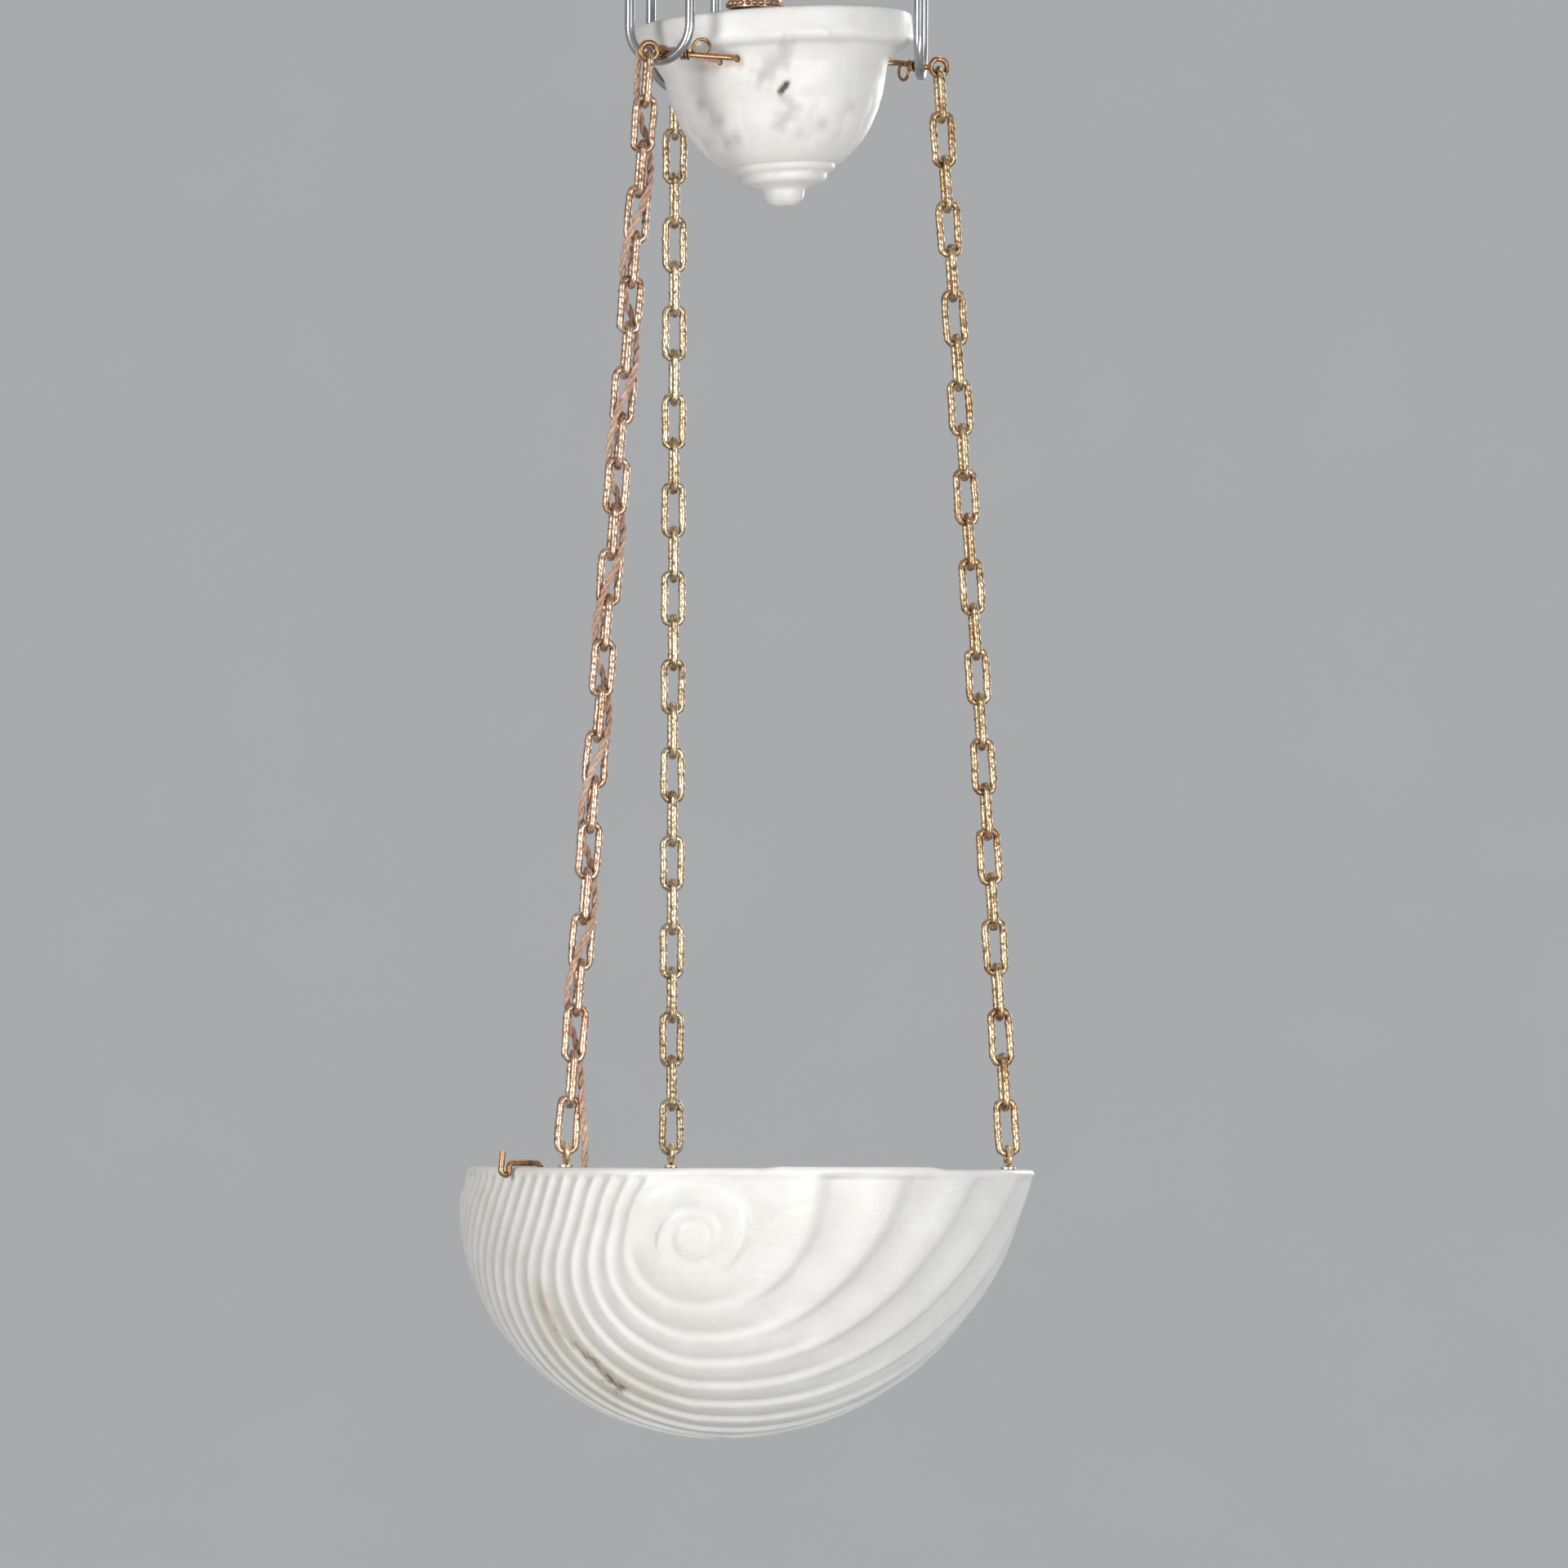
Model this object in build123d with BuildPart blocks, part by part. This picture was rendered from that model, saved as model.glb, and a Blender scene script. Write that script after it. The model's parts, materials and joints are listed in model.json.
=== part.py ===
from build123d import *
import math
import os

os.makedirs("parts", exist_ok=True)

# Alabaster bowl pendant, in millimetres. The origin is the middle of the ceiling face,
# +Z is up and -Y is the front. The bowl hangs on three chains from three wire arms,
# which come out of a small alabaster canopy and lie in three long steel loops.

# ---------------------------------------------------------------- driving dimensions

# Ceiling block, stem and hub
block_diameter = 260.0
block_thickness = 20.0
block_edge_radius = 6.0
block_recess_radius = 26.0
block_recess_depth = 11.0
fixing_hole_radius = 2.75
fixing_head_radius = 5.5
fixing_circle_radius = 100.0
stem_radius = 5.0
stem_bore_radius = 3.25
flange_radius = 19.0
flange_thickness = 3.0
flange_edge_radius = 1.2
flange_screw_radius = 1.5
flange_screw_length = 9.0
flange_screw_head_radius = 2.8
flange_screw_head_height = 1.6
flange_screw_head_round = 0.9
flange_screw_slot = 0.7
flange_screw_circle = 14.0
hub_height = 26.0
hub_radius = 16.5
hub_neck_radius = 7.5
hub_wall = 1.6
hub_rim = 5.0
stem_in_hub = 6.0
hub_clearance_above_canopy = 8.0
bead_radius = 1.7
bead_count = 24
terminal_length = 18.0
terminal_width = 15.0
terminal_height = 8.5
terminal_start = 5.6
terminal_corner = 1.5
terminal_well_depth = 5.0
terminal_screw_radius = 1.6
terminal_screw_length = 4.0
terminal_slot = 0.6

# Ceiling hooks and steel loops
hook_wire = 5.0
hook_ring_radius = 9.0
hook_neck = 8.5
hook_sink = 15.0
hook_collar_radius = 7.0
hook_collar_thickness = 2.0
loop_circle_radius = 103.6
loop_wire = 6.0
loop_width = 51.0
loop_length = 110.0
loop_corner = 22.0

# Canopy
canopy_shift = 11.0
canopy_lean = 3.8
canopy_flange_radius = 87.0
canopy_flange_thickness = 20.0
canopy_edge_radius = 2.5
canopy_bell_radius = 69.5
canopy_bell_height = 80.0
canopy_bell_end = 70.0
canopy_wall = 12.0
canopy_height = 116.0
canopy_above_pivot = 34.0
bell_power = 2.2
ring_one_radius = 33.0
ring_two_radius = 27.4
ring_two_top = 96.5
ring_two_bottom = 100.5
button_radius = 13.3
button_top = 106.0
arm_hole_turn = 14.5
flex_hole_turn = -10.0

# Canopy arms
arm_wire = 3.4
arm_inside = 9.0
arm_outside = 9.0
arm_bend = 6.0
arm_tip_bend = 3.5
eye_radius = 5.2
spare_ring_radius = 5.5
spare_ring_wire = 2.0
spare_ring_height = 4.6
washer_radius = 4.6
washer_thickness = 1.0
nut_flats = 6.5
nut_thickness = 3.0
binding_wire = 1.5
binding_turns = 3
binding_from_loop = {"right": 8.9, "rear": 12.1, "front_left": 16.2}

# Chains
top_azimuth = -4.2
bottom_azimuth = -12.6
top_radius = 115.0
link_turn = 12.0
link_count = 24
link_wire = 4.2
link_length = 36.65
link_width = 15.4
link_corner = 4.4

# Bowl
bowl_radius = 177.5
bowl_depth = 168.5
bowl_wall = 18.0
bowl_floor = 16.0
bowl_drift = 14.8
bowl_section_count = 11
bowl_last_angle = 85.5
rim_eye_from_edge = 13.5
rim_eye_wire = 3.4
rim_eye_radius = 5.6
rim_eye_drop = 20.0
rim_eye_collar_radius = 4.8
rim_eye_collar_thickness = 1.2
rim_eye_lift = 0.8
sleeve_radius = 4.0
sleeve_length = 22.0

# Lampholder, its bracket and the bulb
holder_radius = 19.5
holder_wall = 1.5
holder_top = 68.0
holder_height = 30.0
holder_dome_height = 14.0
holder_nipple_radius = 5.0
holder_nipple_length = 8.0
core_floor = 6.0
liner_radius = 14.0
shade_ring_width = 4.5
shade_ring_thickness = 2.8
bracket_drop = 84.0
bracket_wire = 3.6
bracket_ring_width = 6.5
bracket_ring_thickness = 2.0
bracket_azimuth = 216.0
bracket_rise = 13.0
bracket_claw_height = 9.0
bulb_cap_radius = 13.25
bulb_cap_height = 23.0
bulb_cap_wall = 0.5
bulb_radius = 22.5
bulb_centre_rise = 29.0
bulb_glass_wall = 0.9
bulb_neck_radius = 12.2
bulb_shoulder = 3.5
bulb_shoulder_drop = 6.0
bulb_glass_in_cap = 4.0
bulb_tip_radius = 4.0
bulb_tip_flare = 6.0
bulb_tip_height = 3.0
bulb_tip_collar = 1.5

# Flex
flex_diameter = 4.6
flex_weave_room = 1.85
flex_arm_room = 1.4
flex_link_room = 1.2
flex_top_end = 16.0
flex_chain_end = 16.0
flex_lead_room = 1.6
flex_share = 0.45

# Named clearances
running_gap = 0.3
link_gap = 0.3
bore_gap = 0.05
hole_gap = 0.5
thread_gap = 0.1

# ---------------------------------------------------------------- helpers

CHAINS = {"right": 0.0, "rear": 120.0, "front_left": 240.0}


def polar(radius, azimuth, z=0.0):
    angle = math.radians(azimuth)
    return Vector(radius * math.cos(angle), radius * math.sin(angle), z)


def corner_radii(points, share=flex_share):
    """The largest arc at each corner that leaves a short straight in every run."""
    radii = []
    for before, corner, after in zip(points, points[1:], points[2:]):
        arriving = corner - before
        leaving = after - corner
        half_turn = math.radians(arriving.get_angle(leaving)) / 2
        shorter = min(arriving.length, leaving.length)
        radii.append(share * shorter / math.tan(half_turn))
    return radii


def rod(points, radii, radius):
    """A round rod along straight runs that are joined by tangent arcs."""
    with BuildPart() as round_rod:
        with BuildLine() as path:
            FilletPolyline(*points, radius=radii)
        with BuildSketch(Plane(origin=path.line @ 0, z_dir=path.line % 0)):
            Circle(radius)
        sweep(path=path.line)
    return round_rod.part


def flex(name, points):
    """A piece of the flex, which prints its arcs, its length and its volume."""
    radii = corner_radii(points)
    tube = rod(points, radii, flex_diameter / 2)
    section = math.pi * flex_diameter**2 / 4
    print(name, "arc radii", [round(radius, 1) for radius in radii])
    print(name, "length from volume", round(tube.volume / section, 1))
    return tube


def wire_loop(wire, length, width, corner):
    """A closed oblong loop of round wire, upright in the XZ plane."""
    half_width = (width - wire) / 2
    half_height = (length - wire) / 2
    with BuildPart() as loop:
        with BuildLine(Plane.XZ) as half_path:
            FilletPolyline(
                (0, half_height),
                (half_width, half_height),
                (half_width, -half_height),
                (0, -half_height),
                radius=corner,
            )
        with BuildSketch(Plane(origin=half_path.line @ 0, z_dir=half_path.line % 0)):
            Circle(wire / 2)
        sweep(path=half_path.line)
        mirror(about=Plane.YZ)
    return loop.part


def turned(points, plane):
    """A body of revolution from a half outline of (radius, height) points."""
    with BuildPart() as body:
        with BuildSketch(plane):
            with BuildLine():
                Polyline(*points, close=True)
            make_face()
        revolve(axis=Axis(plane.origin, plane.y_dir))
    return body.part


def upright_plane(x, y, z):
    """A plane for half outlines: its local X is radius and its local Y is height."""
    return Plane(origin=(x, y, z), x_dir=(1, 0, 0), z_dir=(0, -1, 0))


def save(part, name):
    part.label = name
    export_step(part, f"parts/{name}.step")


# ---------------------------------------------------------------- heights and places

block_under_z = -block_thickness
hook_ring_z = block_under_z - hook_neck - hook_ring_radius - hook_wire / 2
loop_top_z = hook_ring_z - hook_ring_radius + (hook_wire + loop_wire) / 2 + running_gap
loop_middle_z = loop_top_z - (loop_length - loop_wire) / 2
loop_bottom_z = loop_top_z - (loop_length - loop_wire)
arm_z = loop_bottom_z + (loop_wire + arm_wire) / 2 + running_gap
pivot_z = arm_z - eye_radius
flange_top_z = pivot_z + canopy_above_pivot
hub_bottom_z = flange_top_z + hub_clearance_above_canopy
hub_top_z = hub_bottom_z + hub_height

# The chains' link planes stand square to these two level directions.
across = polar(1, link_turn)
along = polar(1, link_turn + 90)

bottom_radius = bowl_radius - rim_eye_from_edge
link_half = (link_length - link_wire) / 2
link_pitch = link_length - 2 * link_wire - link_gap
first_link_drop = link_half - (link_wire + arm_wire) / 2 - link_gap
chain_length = first_link_drop + (link_count - 1) * link_pitch + link_half

top_points = {side: polar(top_radius, top_azimuth + turn, pivot_z) for side, turn in CHAINS.items()}
bottom_flat = {side: polar(bottom_radius, bottom_azimuth + turn) for side, turn in CHAINS.items()}
spread = (bottom_flat["right"] - polar(top_radius, top_azimuth)).length
bar_z = pivot_z - math.sqrt(chain_length**2 - spread**2)
bottom_points = {side: Vector(p.X, p.Y, bar_z) for side, p in bottom_flat.items()}

rim_eye_z = bar_z + (link_wire + rim_eye_wire) / 2 + link_gap - rim_eye_radius
rim_z = rim_eye_z - rim_eye_radius - rim_eye_wire / 2 - rim_eye_collar_thickness / 2


def chain_down(side):
    return (bottom_points[side] - top_points[side]).normalized()


def chain_frame(side):
    """The chain's own level directions, squared up to its slope."""
    down = chain_down(side)
    sideways = (across - down * across.dot(down)).normalized()
    backwards = down.cross(sideways) * -1
    return down, sideways, backwards


def chain_point(side, drop, sideways_offset=0.0, backwards_offset=0.0):
    down, sideways, backwards = chain_frame(side)
    return top_points[side] + down * drop + sideways * sideways_offset + backwards * backwards_offset


def link_plane(side, index):
    """Even links are seen edge-on from the front, and odd ones face-on."""
    down, sideways, backwards = chain_frame(side)
    width_direction = backwards if index % 2 == 0 else sideways
    middle = chain_point(side, first_link_drop + index * link_pitch)
    return Plane(origin=middle, x_dir=width_direction, z_dir=down * -1)


# ---------------------------------------------------------------- ceiling block

with BuildPart() as ceiling_block:
    with BuildSketch(Plane.XY.offset(block_under_z)):
        Circle(block_diameter / 2)
    extrude(amount=block_thickness)
    fillet(ceiling_block.faces().sort_by(Axis.Z)[0].edges(), block_edge_radius)
    with BuildSketch(Plane.XY):
        Circle(block_recess_radius)
    extrude(amount=-block_recess_depth, mode=Mode.SUBTRACT)
    with BuildSketch(Plane.XY.offset(block_under_z)):
        Circle(stem_radius + bore_gap)
    extrude(amount=block_thickness, mode=Mode.SUBTRACT)
    with BuildSketch(Plane.XY.offset(block_under_z)):
        with PolarLocations(loop_circle_radius, 3, start_angle=top_azimuth):
            Circle(hook_wire / 2 + bore_gap)
    extrude(amount=hook_sink + bore_gap, mode=Mode.SUBTRACT)
    with BuildSketch(Plane.XY.offset(block_under_z)):
        with PolarLocations(flange_screw_circle, 3, start_angle=top_azimuth):
            Circle(flange_screw_radius + bore_gap)
    extrude(amount=flange_screw_length - flange_thickness + bore_gap, mode=Mode.SUBTRACT)
    # Seen from below, angles run the other way, so this puts the holes midway between hooks.
    with Locations(Plane(origin=(0, 0, block_under_z), x_dir=(1, 0, 0), z_dir=(0, 0, -1))):
        with PolarLocations(fixing_circle_radius, 3, start_angle=60 - top_azimuth):
            CounterSinkHole(fixing_hole_radius, fixing_head_radius, depth=block_thickness)
save(ceiling_block.part, "ceiling_block")

# Each screw hook is a shank with a collar and a ring that is open on its outer side.
with BuildPart() as ceiling_hooks:
    for turn in CHAINS.values():
        azimuth = top_azimuth + turn
        middle = polar(loop_circle_radius, azimuth, hook_ring_z)
        radial = polar(1, azimuth)
        ring_plane = Plane(origin=middle, x_dir=radial, z_dir=radial.cross(Vector(0, 0, 1)))
        with BuildLine(ring_plane) as ring_path:
            CenterArc((0, 0), hook_ring_radius, 90, 285)
        with BuildSketch(Plane(origin=ring_path.line @ 0, z_dir=ring_path.line % 0)):
            Circle(hook_wire / 2)
        sweep(path=ring_path.line)
        with BuildSketch(Plane(origin=middle + Vector(0, 0, hook_ring_radius))):
            Circle(hook_wire / 2)
        extrude(amount=block_under_z + hook_sink - hook_ring_z - hook_ring_radius)
        with BuildSketch(Plane(origin=(middle.X, middle.Y, block_under_z - hook_collar_thickness))):
            Circle(hook_collar_radius)
        extrude(amount=hook_collar_thickness)
save(ceiling_hooks.part, "ceiling_hooks")

# ---------------------------------------------------------------- terminal block

terminal_floor = -block_recess_depth
terminal_middle = terminal_start + terminal_length / 2
well_floor = terminal_floor + terminal_height - terminal_well_depth

with BuildPart() as terminal_block:
    with BuildSketch(Plane.XY.offset(terminal_floor)):
        with Locations((terminal_middle, 0)):
            Rectangle(terminal_length, terminal_width)
    extrude(amount=terminal_height)
    fillet(terminal_block.edges().filter_by(Axis.Z), terminal_corner)
    with BuildSketch(Plane.XY.offset(terminal_floor + terminal_height)):
        with Locations((terminal_middle, 0)):
            with GridLocations(terminal_length / 2, terminal_width / 2, 2, 2):
                Circle(terminal_screw_radius + bore_gap)
    extrude(amount=-terminal_well_depth, mode=Mode.SUBTRACT)
save(terminal_block.part, "terminal_block")

with BuildPart() as terminal_screws:
    with BuildSketch(Plane.XY.offset(well_floor)):
        with Locations((terminal_middle, 0)):
            with GridLocations(terminal_length / 2, terminal_width / 2, 2, 2):
                Circle(terminal_screw_radius)
    extrude(amount=terminal_screw_length)
    with BuildSketch(Plane.XY.offset(well_floor + terminal_screw_length)):
        with Locations((terminal_middle, 0)):
            with GridLocations(terminal_length / 2, terminal_width / 2, 2, 2):
                Rectangle(1.5 * terminal_screw_radius, terminal_slot)
    extrude(amount=-terminal_slot, mode=Mode.SUBTRACT)
save(terminal_screws.part, "terminal_screws")

# ---------------------------------------------------------------- stem, flange and hub

stem_top_z = -block_recess_depth
stem_bottom_z = hub_top_z - stem_in_hub
flange_bottom_z = block_under_z - flange_thickness

with BuildPart() as stem_flange:
    with BuildSketch(Plane.XY.offset(flange_bottom_z)):
        Circle(flange_radius)
    extrude(amount=flange_thickness)
    fillet(stem_flange.faces().sort_by(Axis.Z)[0].edges(), flange_edge_radius)
    with BuildSketch(Plane.XY.offset(flange_bottom_z)):
        Circle(stem_radius + bore_gap)
        with PolarLocations(flange_screw_circle, 3, start_angle=top_azimuth):
            Circle(flange_screw_radius + bore_gap)
    extrude(amount=flange_thickness, mode=Mode.SUBTRACT)
save(stem_flange.part, "stem_flange")

with BuildPart() as stem_flange_screws:
    with BuildSketch(Plane.XY.offset(flange_bottom_z)):
        with PolarLocations(flange_screw_circle, 3, start_angle=top_azimuth):
            Circle(flange_screw_radius)
    extrude(amount=flange_screw_length)
    with BuildSketch(Plane.XY.offset(flange_bottom_z)):
        with PolarLocations(flange_screw_circle, 3, start_angle=top_azimuth):
            Circle(flange_screw_head_radius)
    extrude(amount=-flange_screw_head_height)
    heads = stem_flange_screws.faces().group_by(Axis.Z)[0]
    fillet(heads.edges(), flange_screw_head_round)
    with BuildSketch(Plane.XY.offset(flange_bottom_z - flange_screw_head_height)):
        with PolarLocations(flange_screw_circle, 3, start_angle=top_azimuth):
            Rectangle(2.2 * flange_screw_head_radius, flange_screw_slot)
    extrude(amount=flange_screw_slot, mode=Mode.SUBTRACT)
save(stem_flange_screws.part, "stem_flange_screws")

with BuildPart() as stem_tube:
    with BuildSketch(Plane.XY.offset(stem_bottom_z)):
        Circle(stem_radius)
        Circle(stem_bore_radius, mode=Mode.SUBTRACT)
    extrude(amount=stem_top_z - stem_bottom_z)
save(stem_tube.part, "stem_tube")

# The hub is a turned cup, open below, with a row of beads round its lower edge.
hub_outline = [
    (stem_radius + bore_gap, 0),
    (hub_neck_radius, 0),
    (hub_neck_radius, -4),
    (hub_neck_radius + 1.2, -5.5),
    (hub_neck_radius, -7),
    (hub_radius * 0.72, -hub_height * 0.42),
    (hub_radius * 0.92, -hub_height * 0.62),
    (hub_radius, -hub_height + hub_rim),
    (hub_radius, -hub_height),
    (hub_radius - hub_wall, -hub_height),
    (hub_radius - hub_wall, -hub_height + hub_rim),
    (hub_radius * 0.92 - hub_wall, -hub_height * 0.62),
    (hub_radius * 0.72 - hub_wall, -hub_height * 0.42 - hub_wall / 2),
    (stem_radius + bore_gap, -8.5),
]

with BuildPart() as hub_cup:
    add(turned(hub_outline, upright_plane(0, 0, hub_top_z)))
    with Locations(Location((0, 0, hub_bottom_z + bead_radius + 0.4))):
        with PolarLocations(hub_radius, bead_count):
            Sphere(bead_radius)
    with BuildSketch(Plane.XY.offset(hub_bottom_z)):
        Circle(hub_radius - hub_wall)
    extrude(amount=hub_rim, mode=Mode.SUBTRACT)
save(hub_cup.part, "hub_cup")

with BuildPart() as hub_bush:
    with BuildSketch(Plane.XY.offset(hub_bottom_z + 1)):
        Circle(hub_radius - hub_wall - bore_gap)
        Circle(flex_diameter / 2 + running_gap, mode=Mode.SUBTRACT)
    extrude(amount=hub_rim - 1 - bore_gap)
    fillet(hub_bush.faces().sort_by(Axis.Z)[0].outer_wire().edges(), 1.0)
save(hub_bush.part, "hub_bush")

# ---------------------------------------------------------------- canopy

lean = math.radians(canopy_lean)
canopy_x = Vector(math.cos(lean), 0, math.sin(lean))
canopy_up = Vector(-math.sin(lean), 0, math.cos(lean))
canopy_origin = Vector(canopy_shift, 0, flange_top_z)
canopy_outline_plane = Plane(origin=canopy_origin, x_dir=canopy_x, z_dir=canopy_x.cross(canopy_up))

arm_depth = flange_top_z - arm_z
bell_middle = canopy_origin - canopy_up * arm_depth


def bell_radius_at(radius, height, depth):
    """The bell's radius at this depth below the flange's top, for one of its two skins."""
    share = ((depth - canopy_flange_thickness) / height) ** bell_power
    return radius * max(0, 1 - share) ** (1 / bell_power)


def bell_curve(radius, height, end):
    """Points down the bell, from under the flange to this depth below it."""
    steps = 7
    points = []
    for step in range(steps + 1):
        depth = canopy_flange_thickness + end * math.sin(math.pi / 2 * step / steps)
        points.append((bell_radius_at(radius, height, depth), -depth))
    return points


bell_outside = bell_curve(canopy_bell_radius, canopy_bell_height, canopy_bell_end)
bell_inside = bell_curve(
    canopy_bell_radius - canopy_wall, canopy_bell_height - canopy_wall, canopy_bell_height - canopy_wall
)
bell_foot = bell_outside[-1]

# The button ends in a shallow round cap whose centre is on the canopy's axis.
cap_edge = -button_top - 3.5
cap_rise = canopy_height - button_top - 3.5
cap_radius_at_edge = button_radius - 0.3
cap_ball = (cap_radius_at_edge**2 + cap_rise**2) / (2 * cap_rise)
cap_half_angle = math.asin(cap_radius_at_edge / cap_ball) / 2
cap_halfway = (
    cap_ball * math.sin(cap_half_angle),
    -canopy_height + cap_ball * (1 - math.cos(cap_half_angle)),
)

bell_radius_at_arms = bell_radius_at(canopy_bell_radius, canopy_bell_height, arm_depth)
bell_inner_radius = canopy_bell_radius - canopy_wall
bell_inner_height = canopy_bell_height - canopy_wall
washer_seat = bell_radius_at(bell_inner_radius, bell_inner_height, arm_depth + washer_radius) - running_gap

arm_azimuths = {side: top_azimuth + turn + arm_hole_turn for side, turn in CHAINS.items()}
flex_hole_azimuth = arm_azimuths["front_left"] + flex_hole_turn


def canopy_outward(azimuth):
    """A direction square to the leaning canopy's axis."""
    angle = math.radians(azimuth)
    return canopy_x * math.cos(angle) + Vector(0, 1, 0) * math.sin(angle)

with BuildPart() as canopy:
    with BuildSketch(canopy_outline_plane):
        with BuildLine():
            Polyline(
                (canopy_bell_radius - canopy_wall, 0),
                (canopy_flange_radius, 0),
                (canopy_flange_radius, -canopy_flange_thickness),
                bell_outside[0],
            )
            Spline(*bell_outside)
            Polyline(
                bell_foot,
                (ring_one_radius, bell_foot[1] - 1.0),
                (ring_one_radius - 1.0, -ring_two_top + 2.0),
                (ring_two_radius + 0.6, -ring_two_top),
                (ring_two_radius, -ring_two_bottom),
                (ring_two_radius - 5.0, -ring_two_bottom - 3.0),
                (button_radius + 1.5, -button_top + 1.0),
                (button_radius, -button_top),
                (cap_radius_at_edge, cap_edge),
            )
            ThreePointArc((cap_radius_at_edge, cap_edge), cap_halfway, (0, -canopy_height))
            Line((0, -canopy_height), (0, bell_inside[-1][1]))
            Spline(*reversed(bell_inside))
            Line(bell_inside[0], (canopy_bell_radius - canopy_wall, 0))
        make_face()
    revolve(axis=Axis(canopy_origin, canopy_up))
    outer_corner = canopy.edges().filter_by(GeomType.CIRCLE).sort_by(SortBy.RADIUS)[-2:]
    fillet(outer_corner, canopy_edge_radius)
    for azimuth in arm_azimuths.values():
        with BuildSketch(Plane(origin=bell_middle, z_dir=canopy_outward(azimuth))):
            Circle(arm_wire / 2 + hole_gap)
        extrude(amount=canopy_bell_radius + 2, mode=Mode.SUBTRACT)
    with BuildSketch(Plane(origin=bell_middle, z_dir=canopy_outward(flex_hole_azimuth))):
        Circle(flex_diameter / 2 + hole_gap)
    extrude(amount=canopy_bell_radius + 2, mode=Mode.SUBTRACT)
save(canopy.part, "canopy")

# ---------------------------------------------------------------- steel loops

steel_loop = wire_loop(loop_wire, loop_length, loop_width, loop_corner)

for side, turn in CHAINS.items():
    azimuth = top_azimuth + turn
    loop_place = Plane(
        origin=polar(loop_circle_radius, azimuth, loop_middle_z),
        x_dir=polar(1, azimuth + 90),
        z_dir=(0, 0, 1),
    )
    with BuildPart() as placed_loop:
        with Locations(loop_place):
            add(steel_loop)
    save(placed_loop.part, f"steel_loop_{side}")

# ---------------------------------------------------------------- canopy arms

# Each arm comes level out of the bell, over its steel loop's lower bend, and ends in
# an eye whose lowest point is the pivot of the chain's first link.
eye_sign = {"right": -1, "rear": 1, "front_left": 1}
arm_routes = {}
for side, turn in CHAINS.items():
    outward = canopy_outward(arm_azimuths[side])
    crossing = polar(loop_circle_radius, top_azimuth + turn, arm_z)
    eye_side = top_points[side] + Vector(0, 0, eye_radius) + across * (eye_sign[side] * eye_radius)
    arm_routes[side] = [
        bell_middle + outward * (washer_seat - arm_inside),
        bell_middle + outward * (bell_radius_at_arms + arm_outside),
        crossing,
        eye_side,
    ]


def arm_run(side):
    """Where the arm lies in its steel loop, and its direction from there to the bell."""
    bend, crossing = arm_routes[side][1:3]
    return crossing, (bend - crossing).normalized()


binding_radius = (arm_wire + binding_wire) / 2 + running_gap
binding_pitch = binding_wire + 0.5
binding_height = binding_pitch * binding_turns
spare_ring_after_binding = (
    (binding_height + binding_wire + spare_ring_wire) / 2 + spare_ring_radius + running_gap
)

# A spare ring at the binding stands up on the front left arm and hangs on the others.
spare_ring_side = {"right": -1, "rear": -1, "front_left": 1}

for side in CHAINS:
    crossing, inward = arm_run(side)
    ring_foot = crossing + inward * (binding_from_loop[side] + spare_ring_after_binding)
    ring_rise = spare_ring_height * spare_ring_side[side]
    with BuildPart() as canopy_arm:
        add(rod(arm_routes[side], [arm_bend, arm_tip_bend], arm_wire / 2))
        with Locations(Plane(origin=top_points[side] + Vector(0, 0, eye_radius), z_dir=along)):
            Torus(eye_radius, arm_wire / 2)
        spare_ring_plane = Plane(
            origin=ring_foot + Vector(0, 0, ring_rise),
            z_dir=inward.cross(Vector(0, 0, 1)),
        )
        with Locations(spare_ring_plane):
            Torus(spare_ring_radius, spare_ring_wire / 2)
    save(canopy_arm.part, f"canopy_arm_{side}")

with BuildPart() as arm_washers:
    for azimuth in arm_azimuths.values():
        outward = canopy_outward(azimuth)
        seat = bell_middle + outward * washer_seat
        with BuildSketch(Plane(origin=seat, z_dir=outward * -1)):
            Circle(washer_radius)
            Circle(arm_wire / 2 + bore_gap, mode=Mode.SUBTRACT)
        extrude(amount=washer_thickness)
save(arm_washers.part, "arm_washers")

with BuildPart() as arm_nuts:
    for azimuth in arm_azimuths.values():
        outward = canopy_outward(azimuth)
        seat = bell_middle + outward * (washer_seat - washer_thickness)
        with BuildSketch(Plane(origin=seat, z_dir=outward * -1)):
            RegularPolygon(nut_flats / 2, 6, major_radius=False)
            Circle(arm_wire / 2 + bore_gap, mode=Mode.SUBTRACT)
        extrude(amount=nut_thickness)
save(arm_nuts.part, "arm_nuts")


def helix_point(centre, axis, side_direction, turns):
    """Place and direction on the binding wire's middle line after so many turns."""
    angle = 2 * math.pi * turns
    other = axis.cross(side_direction)
    around = side_direction * math.cos(angle) + other * math.sin(angle)
    tangent = other * math.cos(angle) - side_direction * math.sin(angle)
    heading = tangent * (2 * math.pi * binding_radius) + axis * binding_pitch
    return centre + around * binding_radius + axis * (binding_pitch * turns), heading.normalized()


def biarc_middle(start, start_heading, end, end_heading):
    """Where two arcs meet that leave and arrive along the two headings."""
    gap = end - start
    both = start_heading + end_heading
    spare = 2 * (1 - start_heading.dot(end_heading))
    reach = (math.sqrt(gap.dot(both) ** 2 + spare * gap.dot(gap)) - gap.dot(both)) / spare
    first = start + start_heading * reach
    second = end - end_heading * reach
    return (first + second) * 0.5, (second - first).normalized()


binding_steps_per_turn = 4
least_coil_gap = math.inf

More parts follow.
